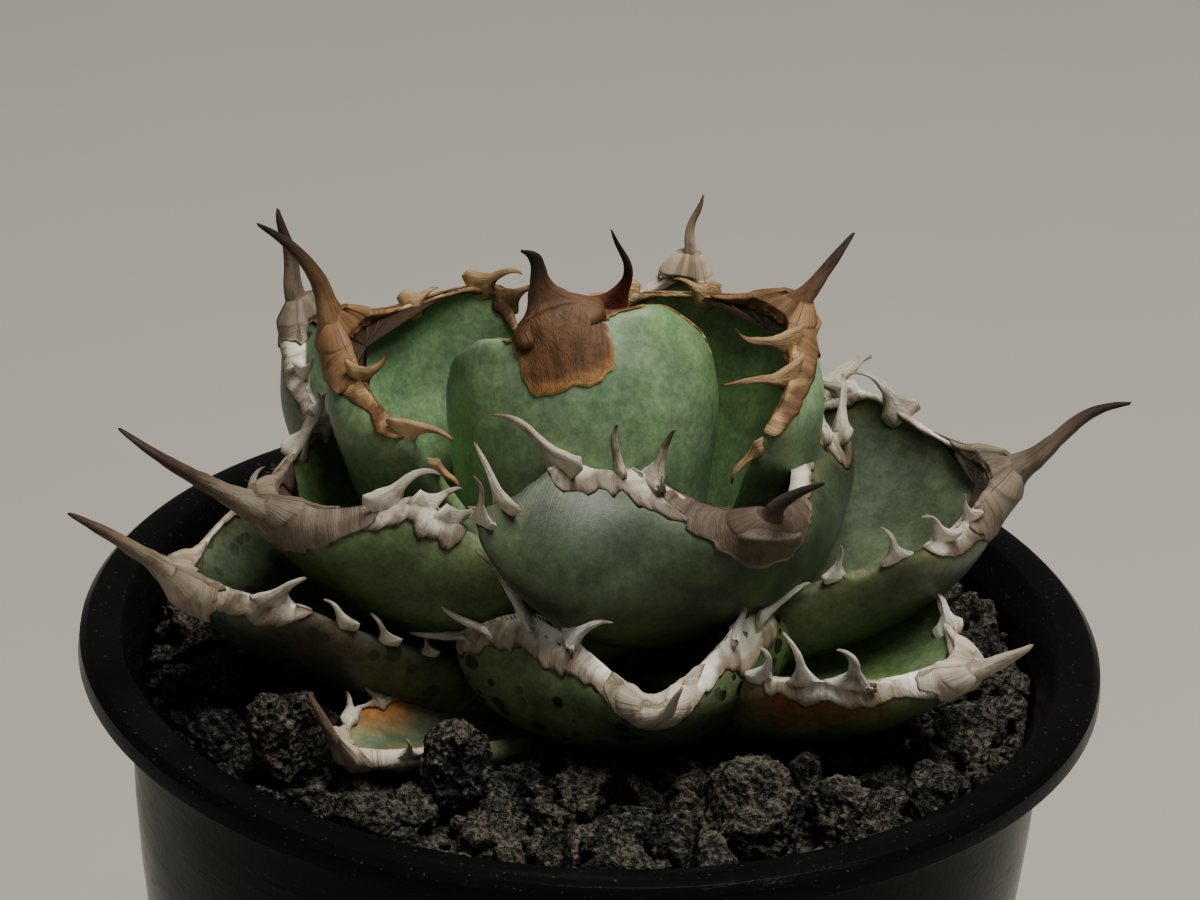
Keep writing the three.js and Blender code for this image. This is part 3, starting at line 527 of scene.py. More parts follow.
def seeded_random(seed):
    """A function that gives the next draw from 0 to 1."""
    mask = 0xFFFFFFFF
    state = seed

    def draw():
        nonlocal state
        state = (state + 0x6D2B79F5) & mask
        t = ((state ^ (state >> 15)) * (1 | state)) & mask
        t = ((t + (((t ^ (t >> 7)) * (61 | t)) & mask)) ^ t) & mask
        return (t ^ (t >> 14)) / (mask + 1)

    return draw


def rule_teeth(seed):
    """Teeth at even steps with seeded differences, for a margin that no list describes."""
    draw = seeded_random(seed)
    teeth = []
    for i in range(RULE_TEETH["count"]):
        share = (i + 0.6 * draw()) / RULE_TEETH["count"]
        place = RULE_TEETH["from"] + (RULE_TEETH["to"] - RULE_TEETH["from"]) * share
        length = RULE_TEETH["length"] * (0.75 + 0.6 * draw())
        lean = -20 + 60 * draw()
        lift = 10 + 10 * draw()
        teeth.append([place, RULE_TEETH["half_base"], length, lean, lift, -40 + 60 * draw(), 0])
    return teeth


def fractal(points, scale, octaves=3):
    """Seeded noise from about -1 to 1 at points, one bump each scale millimetres."""
    flat = np.reshape(points, (-1, 3)) / scale
    values = [noise.fractal(Vector(point), 0.9, 2.1, octaves) for point in flat]
    return np.reshape(values, np.shape(points)[:-1])


# Meshes

def tube(rings, tip=None):
    """Vertices and faces of a closed skin through rings of points, with a fan at each end."""
    count, around = rings.shape[:2]
    start = rings[0].mean(0)
    end = rings[-1].mean(0) if tip is None else tip
    vertices = np.concatenate([rings.reshape(-1, 3), [start, end]])
    i = np.arange(around)
    j = (i + 1) % around
    faces = []
    for ring in range(count - 1):
        a = ring * around
        faces.append(np.stack([a + i, a + j, a + around + j, a + around + i], 1))
    quads = np.concatenate(faces)
    first = np.stack([np.full(around, count * around), j, i], 1)
    last_ring = (count - 1) * around
    last = np.stack([np.full(around, count * around + 1), last_ring + i, last_ring + j], 1)
    fans = np.concatenate([first, last])
    triangles = np.concatenate([quads[:, [0, 1, 2]], quads[:, [0, 2, 3]], fans])
    a, b, c = (vertices[triangles[:, k]] - vertices.mean(0) for k in range(3))
    if np.einsum("ij,ij->i", a, np.cross(b, c)).sum() < 0:
        quads = quads[:, ::-1]
        fans = fans[:, ::-1]
    return vertices, [*quads.tolist(), *fans.tolist()]


def ring_values(values, start, end):
    """Values for the points of a tube's rings, and for the middles of its two ends."""
    return np.concatenate([np.reshape(values, (-1,) + np.shape(values)[2:]), [start, end]])


class Skins:
    """Closed skins gathered into one mesh, with values at their points."""

    def __init__(self):
        self.vertices = []
        self.faces = []
        self.values = {}
        self.count = 0

    def add(self, vertices, faces, **values):
        """Takes in one skin. Every skin of a mesh gives the same values."""
        self.vertices.append(vertices)
        self.faces += [[corner + self.count for corner in face] for face in faces]
        self.count += len(vertices)
        for name, value in values.items():
            self.values.setdefault(name, []).append(value)

    def object(self, name, material):
        """The mesh object, in metres, at the origin."""
        piece = new_object(name, np.concatenate(self.vertices), self.faces)
        mesh = piece.data
        for key, parts in self.values.items():
            value = np.concatenate(parts)
            kind = "FLOAT" if value.ndim == 1 else "FLOAT_VECTOR"
            field = "value" if value.ndim == 1 else "vector"
            attribute = mesh.attributes.new(key, kind, "POINT")
            attribute.data.foreach_set(field, value.astype(np.float32).ravel())
        mesh.shade_smooth()
        mesh.materials.append(material)
        return piece


def one_skin(name, material, vertices, faces, **values):
    """The mesh object of a single closed skin."""
    skins = Skins()
    skins.add(vertices, faces, **values)
    return skins.object(name, material)


def link(name, data):
    """A new object in the scene."""
    piece = bpy.data.objects.new(name, data)
    bpy.context.scene.collection.objects.link(piece)
    return piece


def new_object(name, vertices, faces):
    """A new mesh object, its corners given in millimetres."""
    mesh = bpy.data.meshes.new(name)
    mesh.from_pydata(vertices * MM, [], faces)
    return link(name, mesh)


def finish_piece(piece, slot, *nodes):
    """The piece rides on the one body and stands for CAD nodes where it replaces any. slot is not used."""
    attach(piece, "root")
    if nodes:
        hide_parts(*nodes)


def bake_modifiers(piece):
    """Turns the piece's modifiers into a plain smooth mesh."""
    evaluated = piece.evaluated_get(bpy.context.evaluated_depsgraph_get())
    mesh = bpy.data.meshes.new_from_object(evaluated)
    piece.modifiers.clear()
    piece.data = mesh
    if not mesh.polygons:
        raise RuntimeError(f"{piece.name} came out empty")
    mesh.shade_smooth()


def cad_points(name):
    """The CAD node's corners in millimetres."""
    mesh = frame["nodes"][name].data
    points = np.empty(len(mesh.vertices) * 3, np.float32)
    mesh.vertices.foreach_get("co", points)
    return points.reshape(-1, 3) / MM


# Node trees

VECTOR = "NodeSocketVector"
GEOMETRY = "NodeSocketGeometry"
SOCKET_KINDS = {float: "NodeSocketFloat", int: "NodeSocketInt", tuple: "NodeSocketColor"}


class Wire:
    """One output of a node. A sign between two wires, or a wire and a number, adds a Math node."""

    def __init__(self, socket):
        self.socket = socket

    def __add__(self, other):
        return maths("ADD", self, other)

    def __sub__(self, other):
        return maths("SUBTRACT", self, other)

    def __rsub__(self, other):
        return maths("SUBTRACT", other, self)

    def __mul__(self, other):
        return maths("MULTIPLY", self, other)

    def __rtruediv__(self, other):
        return maths("DIVIDE", other, self)


def connect(value, socket):
    """Links an output to an input, or sets the input to a value."""
    if isinstance(value, Wire):
        socket.id_data.links.new(value.socket, socket)
    elif isinstance(value, tuple) and len(value) == 3 and len(socket.default_value) == 4:
        socket.default_value = (*value, 1)
    else:
        socket.default_value = value


def node(tree, kind, inputs=None, **settings):
    """A new node with settings. Inputs are values, or wires that get linked."""
    made = tree.nodes.new(kind)
    for name, value in settings.items():
        setattr(made, name, value)
    for key, value in (inputs or {}).items():
        connect(value, made.inputs[key])
    return made


def source(tree, kind, output=0, **settings):
    """An output of a new node that needs no inputs."""
    return Wire(node(tree, kind, **settings).outputs[output])


def wire(kind, inputs, output=0, **settings):
    """An output of a new node, in the tree of the first wire among its inputs."""
    tree = next(value.socket.id_data for value in inputs.values() if isinstance(value, Wire))
    return Wire(node(tree, kind, inputs, **settings).outputs[output])


def maths(operation, a, b=0.0):
    """One Math node's result."""
    return wire("ShaderNodeMath", {0: a, 1: b}, operation=operation)


def blend(share, a, b, mode="MIX"):
    """Two colours mixed."""
    return wire("ShaderNodeMix", {0: share, 6: a, 7: b}, 2, data_type="RGBA", blend_type=mode)


def ramp(value, low, high):
    """A smooth mask from 0 at low to 1 at high."""
    return wire("ShaderNodeMapRange", {"Value": value, "From Min": low, "From Max": high}, "Result",
                interpolation_type="SMOOTHSTEP")


def noise_at(vector, scale, detail=3.0, rough=0.55, stretch=(1, 1, 1)):
    """Noise from 0 to 1, stretched along an axis where it is grain."""
    placed = wire("ShaderNodeMapping", {"Vector": vector, "Scale": stretch})
    return wire("ShaderNodeTexNoise",
                {"Vector": placed, "Scale": scale, "Detail": detail, "Roughness": rough}, "Fac")


def cells(vector, scale):
    """How far the nearest of many strewn points is, and that point's random colour."""
    made = node(vector.socket.id_data, "ShaderNodeTexVoronoi",
                {"Vector": vector, "Scale": scale, "Randomness": 1.0})
    return Wire(made.outputs["Distance"]), Wire(made.outputs["Color"])


def upward(vector):
    """The part of a vector that points up."""
    return wire("ShaderNodeSeparateXYZ", {"Vector": vector}, "Z")


def new_tree(name, kind, inputs, outputs):
    """A new node tree, with its inputs as wires and the sockets of its output.

    Inputs are given by their defaults, or by the kind of socket where they have none, outputs by kind.
    """
    tree = bpy.data.node_groups.new(name, kind)
    for key, value in inputs.items():
        if isinstance(value, str):
            tree.interface.new_socket(key, in_out="INPUT", socket_type=value)
            continue
        socket = tree.interface.new_socket(key, in_out="INPUT", socket_type=SOCKET_KINDS[type(value)])
        socket.default_value = (*value, 1) if isinstance(value, tuple) else value
    for key, socket_kind in outputs.items():
        tree.interface.new_socket(key, in_out="OUTPUT", socket_type=socket_kind)
    given = {socket.name: Wire(socket) for socket in tree.nodes.new("NodeGroupInput").outputs}
    return tree, given, tree.nodes.new("NodeGroupOutput").inputs


# Surfaces. Each gives colour, roughness and height from the inputs of its shader group.

def leaf_skin(given):
    """Waxy succulent skin: green with bloom, striae along it, spots, and a blush near the margins."""
    place, skin, margin, far = given["Place"], given["Skin"], given["Margin"], given["Along"]
    colour = blend(ramp(noise_at(place, 55, 4), 0.35, 0.68), given["Shade"], given["Body"])
    striae = noise_at(skin, 3.2, 3, 0.6, (1, 0.06, 1))
    veil = ramp(noise_at(place, 38, 5, 0.6), 0.4, 0.75) * (striae * 0.35 + 0.75)
    colour = blend(veil * 0.75, colour, given["Bloom"])
    colour = blend(ramp(far, 0.55, 0.05) * 0.35, colour, (0.17, 0.21, 0.09))
    edge = ramp(margin, 5.5, 2.2) * ramp(noise_at(place, 180, 3), 0.35, 0.65)
    colour = blend(edge * 0.4, colour, (0.19, 0.19, 0.07))
    reach = margin + noise_at(place, 90, 4) * 9
    red = ramp(reach, 12, 5) * ramp(far, 0.46, 0.64) * ramp(far, 0.97, 0.75) * given["Blush share"]
    red = red * maths("MAXIMUM", 1.0 - given["Upper"], given["Blush above"])
    colour = blend(red, colour, given["Blush"])
    distance, chance = cells(place, 350)
    dot = ramp(chance * 0.54 - distance, 0.0, 0.05)
    dot = dot * ramp(noise_at(place, 70, 2), 0.36, 0.46) * given["Spots"]
    colour = blend(dot, colour, (0.012, 0.016, 0.01))
    mottle = ramp(noise_at(place, 240, 5, 0.72), 0.36, 0.64)
    mottle = blend(mottle, (0.72, 0.74, 0.74), (1.22, 1.2, 1.16))
    colour = blend(0.8, colour, mottle, "MULTIPLY")
    speckle = noise_at(place, 1100, 3, 0.7)
    grain = blend(ramp(speckle, 0.3, 0.7), (0.6, 0.6, 0.6), (1.35, 1.35, 1.35))
    colour = blend(0.5, colour, grain, "MULTIPLY")
    lines = noise_at(skin, 3.5, 2, 0.5, (1, 0.05, 1)) * 0.22
    return colour, veil * 0.35 + 0.4, lines + speckle * 0.3 - dot * 0.5


def dry_horn(given):
    """Dry horn: streaked along its growth, darker at a spine's tip and at the ragged border."""
    grain, place, rim, spine = given["Grain"], given["Place"], given["Rim"], given["Spine"]
    streak = noise_at(grain, 1.1, 4, 0.6, (1, 0.16, 1))
    patch = noise_at(place, 160, 4, 0.6)
    inland = rim + (patch - 0.5) * 2.0
    colour = blend(ramp(inland, 0.0, 0.6), given["Tooth tip"], given["Band"])
    colour = blend(ramp(spine, 0.0, 0.12), colour, given["Spine base"])
    colour = blend(ramp(spine, 0.35, 0.9), colour, given["Spine tip"])
    colour = blend(ramp(given["Tooth"], 0.68, 0.96) * 0.75, colour, given["Band"])
    stained = blend(1.0, colour, (0.5, 0.45, 0.4), "MULTIPLY")
    colour = blend(ramp(streak + patch, 0.85, 1.25), colour, stained)
    frayed = rim + (streak - 0.5) * 0.5
    colour = blend(ramp(frayed, 0.78, 0.97) * 0.85, colour, given["Border"])
    fine = noise_at(grain, 6, 3, 0.6, (1, 0.2, 1))
    colour = blend(0.5, colour, blend(fine, (0.5, 0.48, 0.45), (1.3, 1.3, 1.3)), "MULTIPLY")
    return colour, streak * 0.3 + 0.45, streak + fine * 0.6


def porous_lava(given):
    """Porous lava: dark to brown, with pits all over painted near-black as painted shade, and what faces up
    paler, partly pale dust and partly painted top light.
    """
    place = given["Place"]
    colour = blend(ramp(noise_at(place, 85, 2), 0.4, 0.62), given["Dark"], given["Brown"])
    lumps = noise_at(place, 560, 3, 0.7)
    grain = noise_at(place, 1200, 3, 0.7)
    distance, _ = cells(place, 640)
    # Pits and fine pores: sunk into the relief, and darkened below as painted shade inside them.
    pit_and_shade = ramp(distance, 0.4, 0.22) * ramp(noise_at(place, 260, 2), 0.42, 0.56)
    pit_and_shade = maths("MAXIMUM", pit_and_shade, ramp(grain, 0.47, 0.4))
    tint = blend(ramp(lumps, 0.36, 0.62), (0.55, 0.55, 0.55), (1.45, 1.42, 1.36))
    colour = blend(0.9, colour, tint, "MULTIPLY")
    # Painted shade: the pits and pores are darkened to near-black.
    colour = blend(pit_and_shade * 0.8, colour, (0.006, 0.0056, 0.005))
    # What faces up gets paler: partly pale dust, partly painted top light.
    dust = ramp(given["Up"], 0.0, 1.0) * ramp(grain, 0.5, 0.6)
    colour = blend(dust * 0.3, colour, (0.15, 0.135, 0.107))
    colour = blend(ramp(grain, 0.6, 0.64) * 0.35, colour, (0.19, 0.172, 0.135))
    return colour, lumps * 0.12 + 0.88, lumps + grain * 0.6 - pit_and_shade * 0.3


def moulded_plastic(given):
    """Moulded black plastic: faint flow marks, scuffs, and dust where it gathers."""
    place = given["Place"]
    haze = ramp(noise_at(place, 26, 5, 0.6), 0.4, 0.72)
    specks = ramp(noise_at(place, 1400, 2, 0.6), 0.66, 0.74)
    lip = ramp(upward(place), (LIP_TOP - 8) * MM, (LIP_TOP - 1) * MM)
    dust = specks * (lip * 0.25 + 0.04) + haze * 0.01
    scuff = ramp(noise_at(place, 60, 6, 0.75, (1, 1, 6)), 0.5, 0.75)
    rough = (haze + scuff) * 0.13 + 0.2 + dust * 0.6
    return blend(dust, given["Plastic"], given["Dust"]), rough, noise_at(place, 900, 2) + scuff


SHADER_GROUPS = {
    "Leaf skin": (leaf_skin, {
        "Place": VECTOR, "Skin": VECTOR, "Margin": 5.0, "Along": 0.5, "Upper": 0.0,
        "Body": (0.08, 0.14, 0.07), "Shade": (0.03, 0.06, 0.03), "Bloom": (0.2, 0.25, 0.2),
        "Blush": (0.3, 0.1, 0.03), "Blush share": 0.0, "Spots": 0.0, "Blush above": 0.0}),
    "Horn": (dry_horn, {
        "Grain": VECTOR, "Place": VECTOR, "Tooth": 0.0, "Spine": 0.0, "Rim": 0.0,
        "Band": (0.4, 0.3, 0.2), "Tooth tip": (0.7, 0.6, 0.5), "Spine base": (0.3, 0.2, 0.1),
        "Spine tip": (0.02, 0.01, 0.01), "Border": (0.08, 0.04, 0.02)}),
    "Lava": (porous_lava, {
        "Place": VECTOR, "Up": 0.0, "Dark": (0.02, 0.02, 0.02), "Brown": (0.06, 0.04, 0.03)}),
    "Plastic": (moulded_plastic, {
        "Place": VECTOR, "Plastic": (0.01, 0.01, 0.01), "Dust": (0.1, 0.09, 0.08)}),
}


def shader_group(name):
    """The named shader group, made if it isn't there yet."""
    if name in bpy.data.node_groups:
        return bpy.data.node_groups[name]
    build, inputs = SHADER_GROUPS[name]
    tree, given, made = new_tree(name, "ShaderNodeTree", inputs, {
        "Color": "NodeSocketColor", "Roughness": "NodeSocketFloat", "Height": "NodeSocketFloat"})
    for value, socket in zip(build(given), made):
        connect(value, socket)
    return tree


def new_material(name):
    """A material with its shader, and nothing linked yet."""
    material = bpy.data.materials.new(name)
    material.use_nodes = True
    return material, material.node_tree, material.node_tree.nodes["Principled BSDF"]


def surface(name, group, inputs, relief, gloss=0.5):
    """A material whose colour, roughness and relief come from one group.

    Inputs are values or the names of attributes, and relief is in millimetres.
    """
    material, tree, shader = new_material(name)
    finish = node(tree, "ShaderNodeGroup", node_tree=shader_group(group))
    connect(source(tree, "ShaderNodeTexCoord", "Object"), finish.inputs["Place"])
    if "Up" in finish.inputs:
        connect(upward(source(tree, "ShaderNodeNewGeometry", "Normal")), finish.inputs["Up"])
    for key, value in inputs.items():
        if isinstance(value, str):
            output = "Vector" if finish.inputs[key].type == "VECTOR" else "Fac"
            value = source(tree, "ShaderNodeAttribute", output, attribute_name=value)
        connect(value, finish.inputs[key])
    height = Wire(finish.outputs["Height"])
    bump = wire("ShaderNodeBump", {"Height": height, "Distance": relief * MM}, "Normal")
    connect(Wire(finish.outputs["Color"]), shader.inputs["Base Color"])
    connect(Wire(finish.outputs["Roughness"]), shader.inputs["Roughness"])
    connect(bump, shader.inputs["Normal"])
    connect(gloss, shader.inputs["Specular IOR Level"])
    return material


def leaf_material(name, look):
    """The skin of one leaf."""
    greens = dict(zip(GREEN_PARTS, GREENS[look["green"]]))
    return surface(f"skin_{name}", "Leaf skin", {
        "Skin": "skin", "Margin": "margin", "Along": "along", "Upper": "upper", **greens,
        "Spots": look.get("spots", 0.0), "Blush": look.get("blush", greens["Body"]),
        "Blush share": look.get("blush_share", 0.0), "Blush above": look.get("blush_above", 0.0),
    }, 0.12, 0.42)


def horn_material(kind):
    """One of the horn colours, shared by the leaves that have it."""
    name = f"horn_{kind}"
    return bpy.data.materials.get(name) or surface(name, "Horn", {
        "Grain": "grain", "Tooth": "tooth", "Spine": "spine", "Rim": "rim",
        **dict(zip(HORN_PARTS, HORNS[kind])),
    }, 0.3, 0.35)


def lava_material():
    """The lava rock of the bed and the loose stones."""
    stones = bpy.context.scene.agave_stones
    colours = {"Dark": tuple(stones.dark), "Brown": tuple(stones.brown)}
    return bpy.data.materials.get("rough_lava") or surface("rough_lava", "Lava", colours, 1.1, 0.08)


# Leaves

def prepare_leaf(name, index):
    """The leaf's values, with its length and the teeth that the CAD node has."""
    leaf = dict(LEAVES[name])
    leaf["length"] = rib_length(leaf)
    given = {LEFT: leaf.get("left"), RIGHT: leaf.get("right")}
    leaf["teeth"] = {}
    corners = cad_points(name)
    for side, seed in ((LEFT, 100 + index), (RIGHT, 600 + index)):
        teeth = rule_teeth(seed) if given[side] is None else given[side]
        leaf["teeth"][side] = [tooth for tooth in teeth if stands(leaf, side, tooth, corners)]
    return leaf


def tooth_frame(leaf, side, place):
    """Foot of a tooth, its outward way, the margin's tangent and the face's normal."""
    point, normal, outward, tangent = leaf_face(leaf, place, side)
    return point - normal * EDGE_THICKNESS / 2, outward * side, tangent, normal


def heading(at, lean, lift):
    """The way a tooth grows in its frame, leant towards the tip and lifted from the face."""
    _, outward, tangent, normal = at
    in_plane = outward * math.cos(lean) + tangent * math.sin(lean)
    return in_plane * math.cos(lift) + normal * math.sin(lift)


def stands(leaf, side, tooth, corners):
    """Whether the CAD node has this tooth: one of its corners is the tooth's tip."""
    place, _, length, lean, lift, lean_curl, lift_curl = tooth
    at = tooth_frame(leaf, side, place)
    tip = at[0]
    for share, part in ((0.2, TOOTH_KNEE), (0.8, 1 - TOOTH_KNEE)):
        way = heading(at, math.radians(lean + lean_curl * share), math.radians(lift + lift_curl * share))
        tip = tip + way * length * part
    return np.linalg.norm(corners - tip, axis=1).min() < TIP_NEARNESS


def skin_section(count):
    """u and face of the points round a section: across the upper face and back across the under one."""
    u = np.sin(np.linspace(-math.pi / 2, math.pi / 2, count))
    face = np.concatenate([np.full(count, UPPER), np.full(count - 2, UNDER)])
    return np.concatenate([u, u[-2:0:-1]]), face


def skin_object(name, leaf, look, material, settings):
    """The green skin of a leaf."""
    u, face = skin_section(settings.steps_across)
    s = np.linspace(0, 1, settings.steps_along + 1)[:, None]
    u, face, s = np.broadcast_arrays(u[None], face[None], s)
    points, way = skin_points(leaf, s, u, face)
    shift = np.array([letters(name) % 97 * 3.1, 0, 0])
    swell = 0.28 * fractal(points + shift, 13, 2) + 0.06 * fractal(points, 3.5, 2)
    half = along(leaf["half"], s)
    inland = (1 - np.abs(u)) * half
    calm = smooth_step(5, 12, inland) * smooth_step(look["cap"], look["cap"] - 0.12, s)
    sunk = SKIN_SUNK * smooth_step(6.5, 3, inland)
    points = points + way * (swell * calm - sunk)[..., None]
    grain = np.stack([u * half, s * leaf["length"], face * 40.0], -1)
    return one_skin(
        name, material, *tube(points), margin=ring_values(inland, 5, 5), along=ring_values(s, 0, 1),
        upper=ring_values((face == UPPER).astype(float), 0, 0), skin=ring_values(grain, ORIGIN, ORIGIN))


def letters(name):
    """A number from a name's letters, which gives each leaf its own piece of the noise."""
    return sum(map(ord, name))


def add_horn(skins, rings, grain, tip=None, **shares):
    """Takes in one skin of horn. shares gives tooth, spine and rim as (on the rings, at start, at end)."""
    vertices, faces = tube(rings, tip)
    values = {}
    for key in ("tooth", "spine", "rim"):
        share, start, end = shares.get(key, (0, 0, 0))
        values[key] = ring_values(np.broadcast_to(share, rings.shape[:2]), start, end)
    values["grain"] = ring_values(grain, ORIGIN, ORIGIN)
    skins.add(vertices, faces, **values)


def add_growth(skins, centres, ways, wides, wide, thin, tip, rough, grain, key, **shares):
    """Takes in a horn with rings round its centres, wide one way and thin the other, up to its tip.

    rough is the size and the share of its bumps, and grain the place across and along it.
    """
    thins = np.cross(ways, wides)
    rings = centres[:, None] + (wides[:, None] * wide[..., None] + thins[:, None] * thin[..., None])
    size, share = rough
    bumps = share * fractal(rings + key, size, 3)
    rings = rings + (rings - centres[:, None]) * bumps[..., None]
    across, run = grain
    grain = np.stack(np.broadcast_arrays(across, run[:, None], key * 5.0), -1)
    add_horn(skins, rings, grain, tip, **shares)


def add_band(skins, leaf, side, start, broad, settings):
    """The horn band of one margin, as a closed strip with a ragged border on both faces."""
    count = max(int((1 - start) * leaf["length"] / BAND_STEP), 12)
    s = np.linspace(start, BAND_END, count)
    half = along(leaf["half"], s)
    middle = leaf_face(leaf, s, side * 0.9)[0]
    width = {}
    for face, base in ((UPPER, 0.8), (UNDER, 1.0)):
        wander = fractal(middle + 50 * face, 3.4, 3) + 0.5 * fractal(middle - 50 * face, 1.1, 3)
        broadness = broad * (base * settings.band_width + wander * settings.ragged) / MM
        for place, half_base, *_ in leaf["teeth"][side]:
            reach = 0.85 * half_base / leaf["length"]
            broadness = broadness + 0.7 * half_base * np.exp(-((s - place) / reach) ** 2)
        broadness = np.clip(broadness + 3.5 * smooth_step(0.88, 1, s) ** 2, 0.35, half * 0.95)
        width[face] = broadness * smooth_step(start - 0.01, start + 0.05, s) + 0.12
    lumps = 1 + 0.4 * fractal(middle + 9, 1.6, 3)
    high = settings.horn_raise / MM
    outside = [(share, height * high) for share, height in BAND_PROFILE]
    columns = [(UPPER, *point) for point in outside] + [(UNDER, *point) for point in outside[::-1]]
    columns += [(*point, BAND_ROOT) for point in BAND_INSIDE]
    rings, grains = [], []
    for face, share, height in columns:
        inwards = share * width[face]
        lift = height * lumps if height > 0 else np.full(count, height)
        rings.append(skin_points(leaf, s, side * (1 - inwards / half), face, lift)[0])
        grains.append(np.stack([s * leaf["length"], inwards * face, np.full(count, side * 9.0)], -1))
    rim = [share for _, share, _ in columns]
    add_horn(skins, np.stack(rings, 1), np.stack(grains, 1), rim=(rim, 1, 1))


def add_cap(skins, leaf, look, settings):
    """The horn over the leaf's tip, with a ragged border all round."""
    cap, rise, bulge = look["cap"], look.get("cap_rise", 0), look.get("bulge", 0.25)
    u, face = skin_section(CAP_POINTS_RISEN if rise else CAP_POINTS)
    ring = leaf_face(leaf, cap, u)[0] + 30 * face[:, None]
    wander = (fractal(ring, 6, 3) * 2.2 + fractal(ring, 1.5, 3) * 0.7) / leaf["length"]
    border = cap + wander + rise * smooth_step(0.08, 0.46, np.abs(u))
    border = np.minimum(border + 0.05 * (face == UPPER) * (1 - u ** 2), BAND_END)
    rows = np.array([*CAP_ROWS, *(1.0 for _ in CAP_CLOSING)])[:, None]
    heights = np.where(rows < 0.01, rows * 40 - 0.2, np.minimum(0.7 + rows * 14, 1.6))
    s = border + (1 - border) * rows
    lumps = 1 + 0.5 * fractal(leaf_face(leaf, s, u)[0], 1.6, 3)
    lift = np.where(heights > 0, heights * (settings.horn_raise / MM) * lumps, heights)
    lift = lift + bulge * smooth_step(0.25, 1, rows) * (1 - 0.5 * np.abs(u))
    points = skin_points(leaf, s, u, face, lift)[0]
    centre = points[-1].mean(0)
    way = unit(outwards(leaf["spine"][0], leaf["azimuth"]) - centre)
    scale, advance = np.array([(1, 0)] * len(CAP_ROWS) + CAP_CLOSING).T[..., None, None]
    points = centre + (points - centre) * scale + way * advance
    grain = np.stack(np.broadcast_arrays(u * along(leaf["half"], s), s * leaf["length"], face * 7.0), -1)
    sheath = smooth_step(0.0, 0.5, rows) * 0.3
    add_horn(skins, points, grain, spine=(sheath, 0, 0.3), rim=(np.clip(1 - rows * 3, 0, 1), 1, 0))


def add_tooth(skins, leaf, side, tooth, key):
    """One tooth: a flat flaring base that draws in to a curling horn."""
    place, half_base, length, lean, lift, lean_curl, lift_curl = tooth
    at = tooth_frame(leaf, side, place)
    foot, outward, tangent, _ = at
    f = np.linspace(0, 1, TOOTH_STEPS + 1)[:-1]
    hook = np.clip((f - HOOK_START) / (1 - HOOK_START), 0, 1) ** 1.4
    turn = math.copysign(1, lean_curl or (-1) ** key)
    lean_at = np.radians(lean + lean_curl * f + HOOK_TURN * turn * hook - 10 * turn * np.sin(math.pi * f))
    lift_at = np.radians(lift + lift_curl * f + HOOK_LIFT * hook * (-1) ** key)
    ways = np.stack([heading(at, a, b) for a, b in zip(lean_at, lift_at)])
    steps = np.concatenate([[np.zeros(3)], np.cumsum(ways[:-1], 0)])
    centres = foot + steps * length * TOOTH_STRETCH / TOOTH_STEPS
    wides = tangent * np.cos(lean_at)[:, None] - outward * np.sin(lean_at)[:, None]
    roots = np.array(TOOTH_ROOTS)
    centres = np.concatenate([foot - outward * roots[:, None], centres])
    wides = np.concatenate([[tangent, tangent], wides])
    ways = np.concatenate([[outward, outward], ways])
    flare = np.clip(1 - f / 0.4, 0, 1) ** 1.8
    wide = half_base * (0.33 * (1 - f) ** 0.75 + 0.72 * flare)
    wide = np.concatenate([[half_base * 0.85, half_base * 1.02], wide])[:, None]
    thick = 0.13 + (0.24 + 0.12 * half_base) * (1 - f) ** 0.75
    thick = np.concatenate([[0.35, 0.5], thick])[:, None]
    angle = turns(TOOTH_SIDES)
    ripple = 1 + 0.1 * np.sin(angle * 3 + key) + 0.07 * np.sin(angle * 5 + 2 * key)
    tip = centres[-1] + ways[-1] * length / TOOTH_STEPS
    grown = np.concatenate([[0, 0], f])[:, None]
    grain = (np.sin(angle) * half_base, np.concatenate([-roots, f * length]))
    add_growth(skins, centres, ways, wides, wide * (np.cos(angle) * ripple),
               thick * (np.sin(angle) * ripple), tip, (2.2, 0.16), grain, key, tooth=(grown, 0, 1))


def add_spine(skins, leaf, flare, key):
    """The end spine: wide and channelled where it leaves the leaf, round at its point."""
    def lowered(s):
        point, normal, _, _ = leaf_face(leaf, s, 0)
        return point - normal * along(leaf["thick"], 1) / 2

    root, start = lowered(SPINE_ROOT), lowered(1.0)
    middle, tip = (outwards(place, leaf["azimuth"]) for place in leaf["spine"])
    control = 2 * middle - (start + tip) / 2
    t = np.linspace(0, 1, SPINE_STEPS + 1)[:-1][:, None]
    centres = start * (1 - t) ** 2 + control * 2 * t * (1 - t) + tip * t ** 2
    ways = unit(2 * (1 - t) * (control - start) + 2 * t * (tip - control))
    centres = np.concatenate([[root, (root + start) / 2], centres])
    ways = np.concatenate([[ways[0], ways[0]], ways])
    t = np.concatenate([[0, 0], t[:, 0]])
    _, _, across, _ = leaf_face(leaf, 1.0, 0)
    wides = unit(across - ways * (ways @ across)[:, None])
    half, thick = along(leaf["half"], 1) * 0.82, along(leaf["thick"], 1) * 0.6
    stout = 1 + (flare - 1) * np.exp(-(t / 0.3) ** 2)
    at, widths, depths = np.array(SPINE_PROFILE).T
    wide = half * stout * np.interp(t, at, widths)
    thin = thick * stout * np.interp(t, at, depths)
    reach = np.linalg.norm(tip - start)
    sway = 0.045 * reach * np.sin(t * 2 * math.pi + key) * smooth_step(0, 0.4, t)
    crook = 0.1 * reach * np.clip((t - 0.7) / 0.3, 0, 1) ** 2 * (-1) ** key
    centres = centres + wides * (sway + crook)[:, None]
    tip = centres[-1] + ways[-1] * 0.4
    angle = turns(SPINE_SIDES)
    channel = 0.42 * np.exp(-((angle - math.pi / 2) / 0.5) ** 2)
    depth = smooth_step(0.75, 0.1, t)[:, None] * channel
    grain = (np.cos(angle) * half, t * np.linalg.norm(tip - start))
    add_growth(skins, centres, ways, wides, wide[:, None] * np.cos(angle),
               thin[:, None] * (np.sin(angle) * (1 - depth)), tip, (3.0, 0.12), grain, key,
               spine=((0.3 + 0.7 * t)[:, None], 0.3, 1))


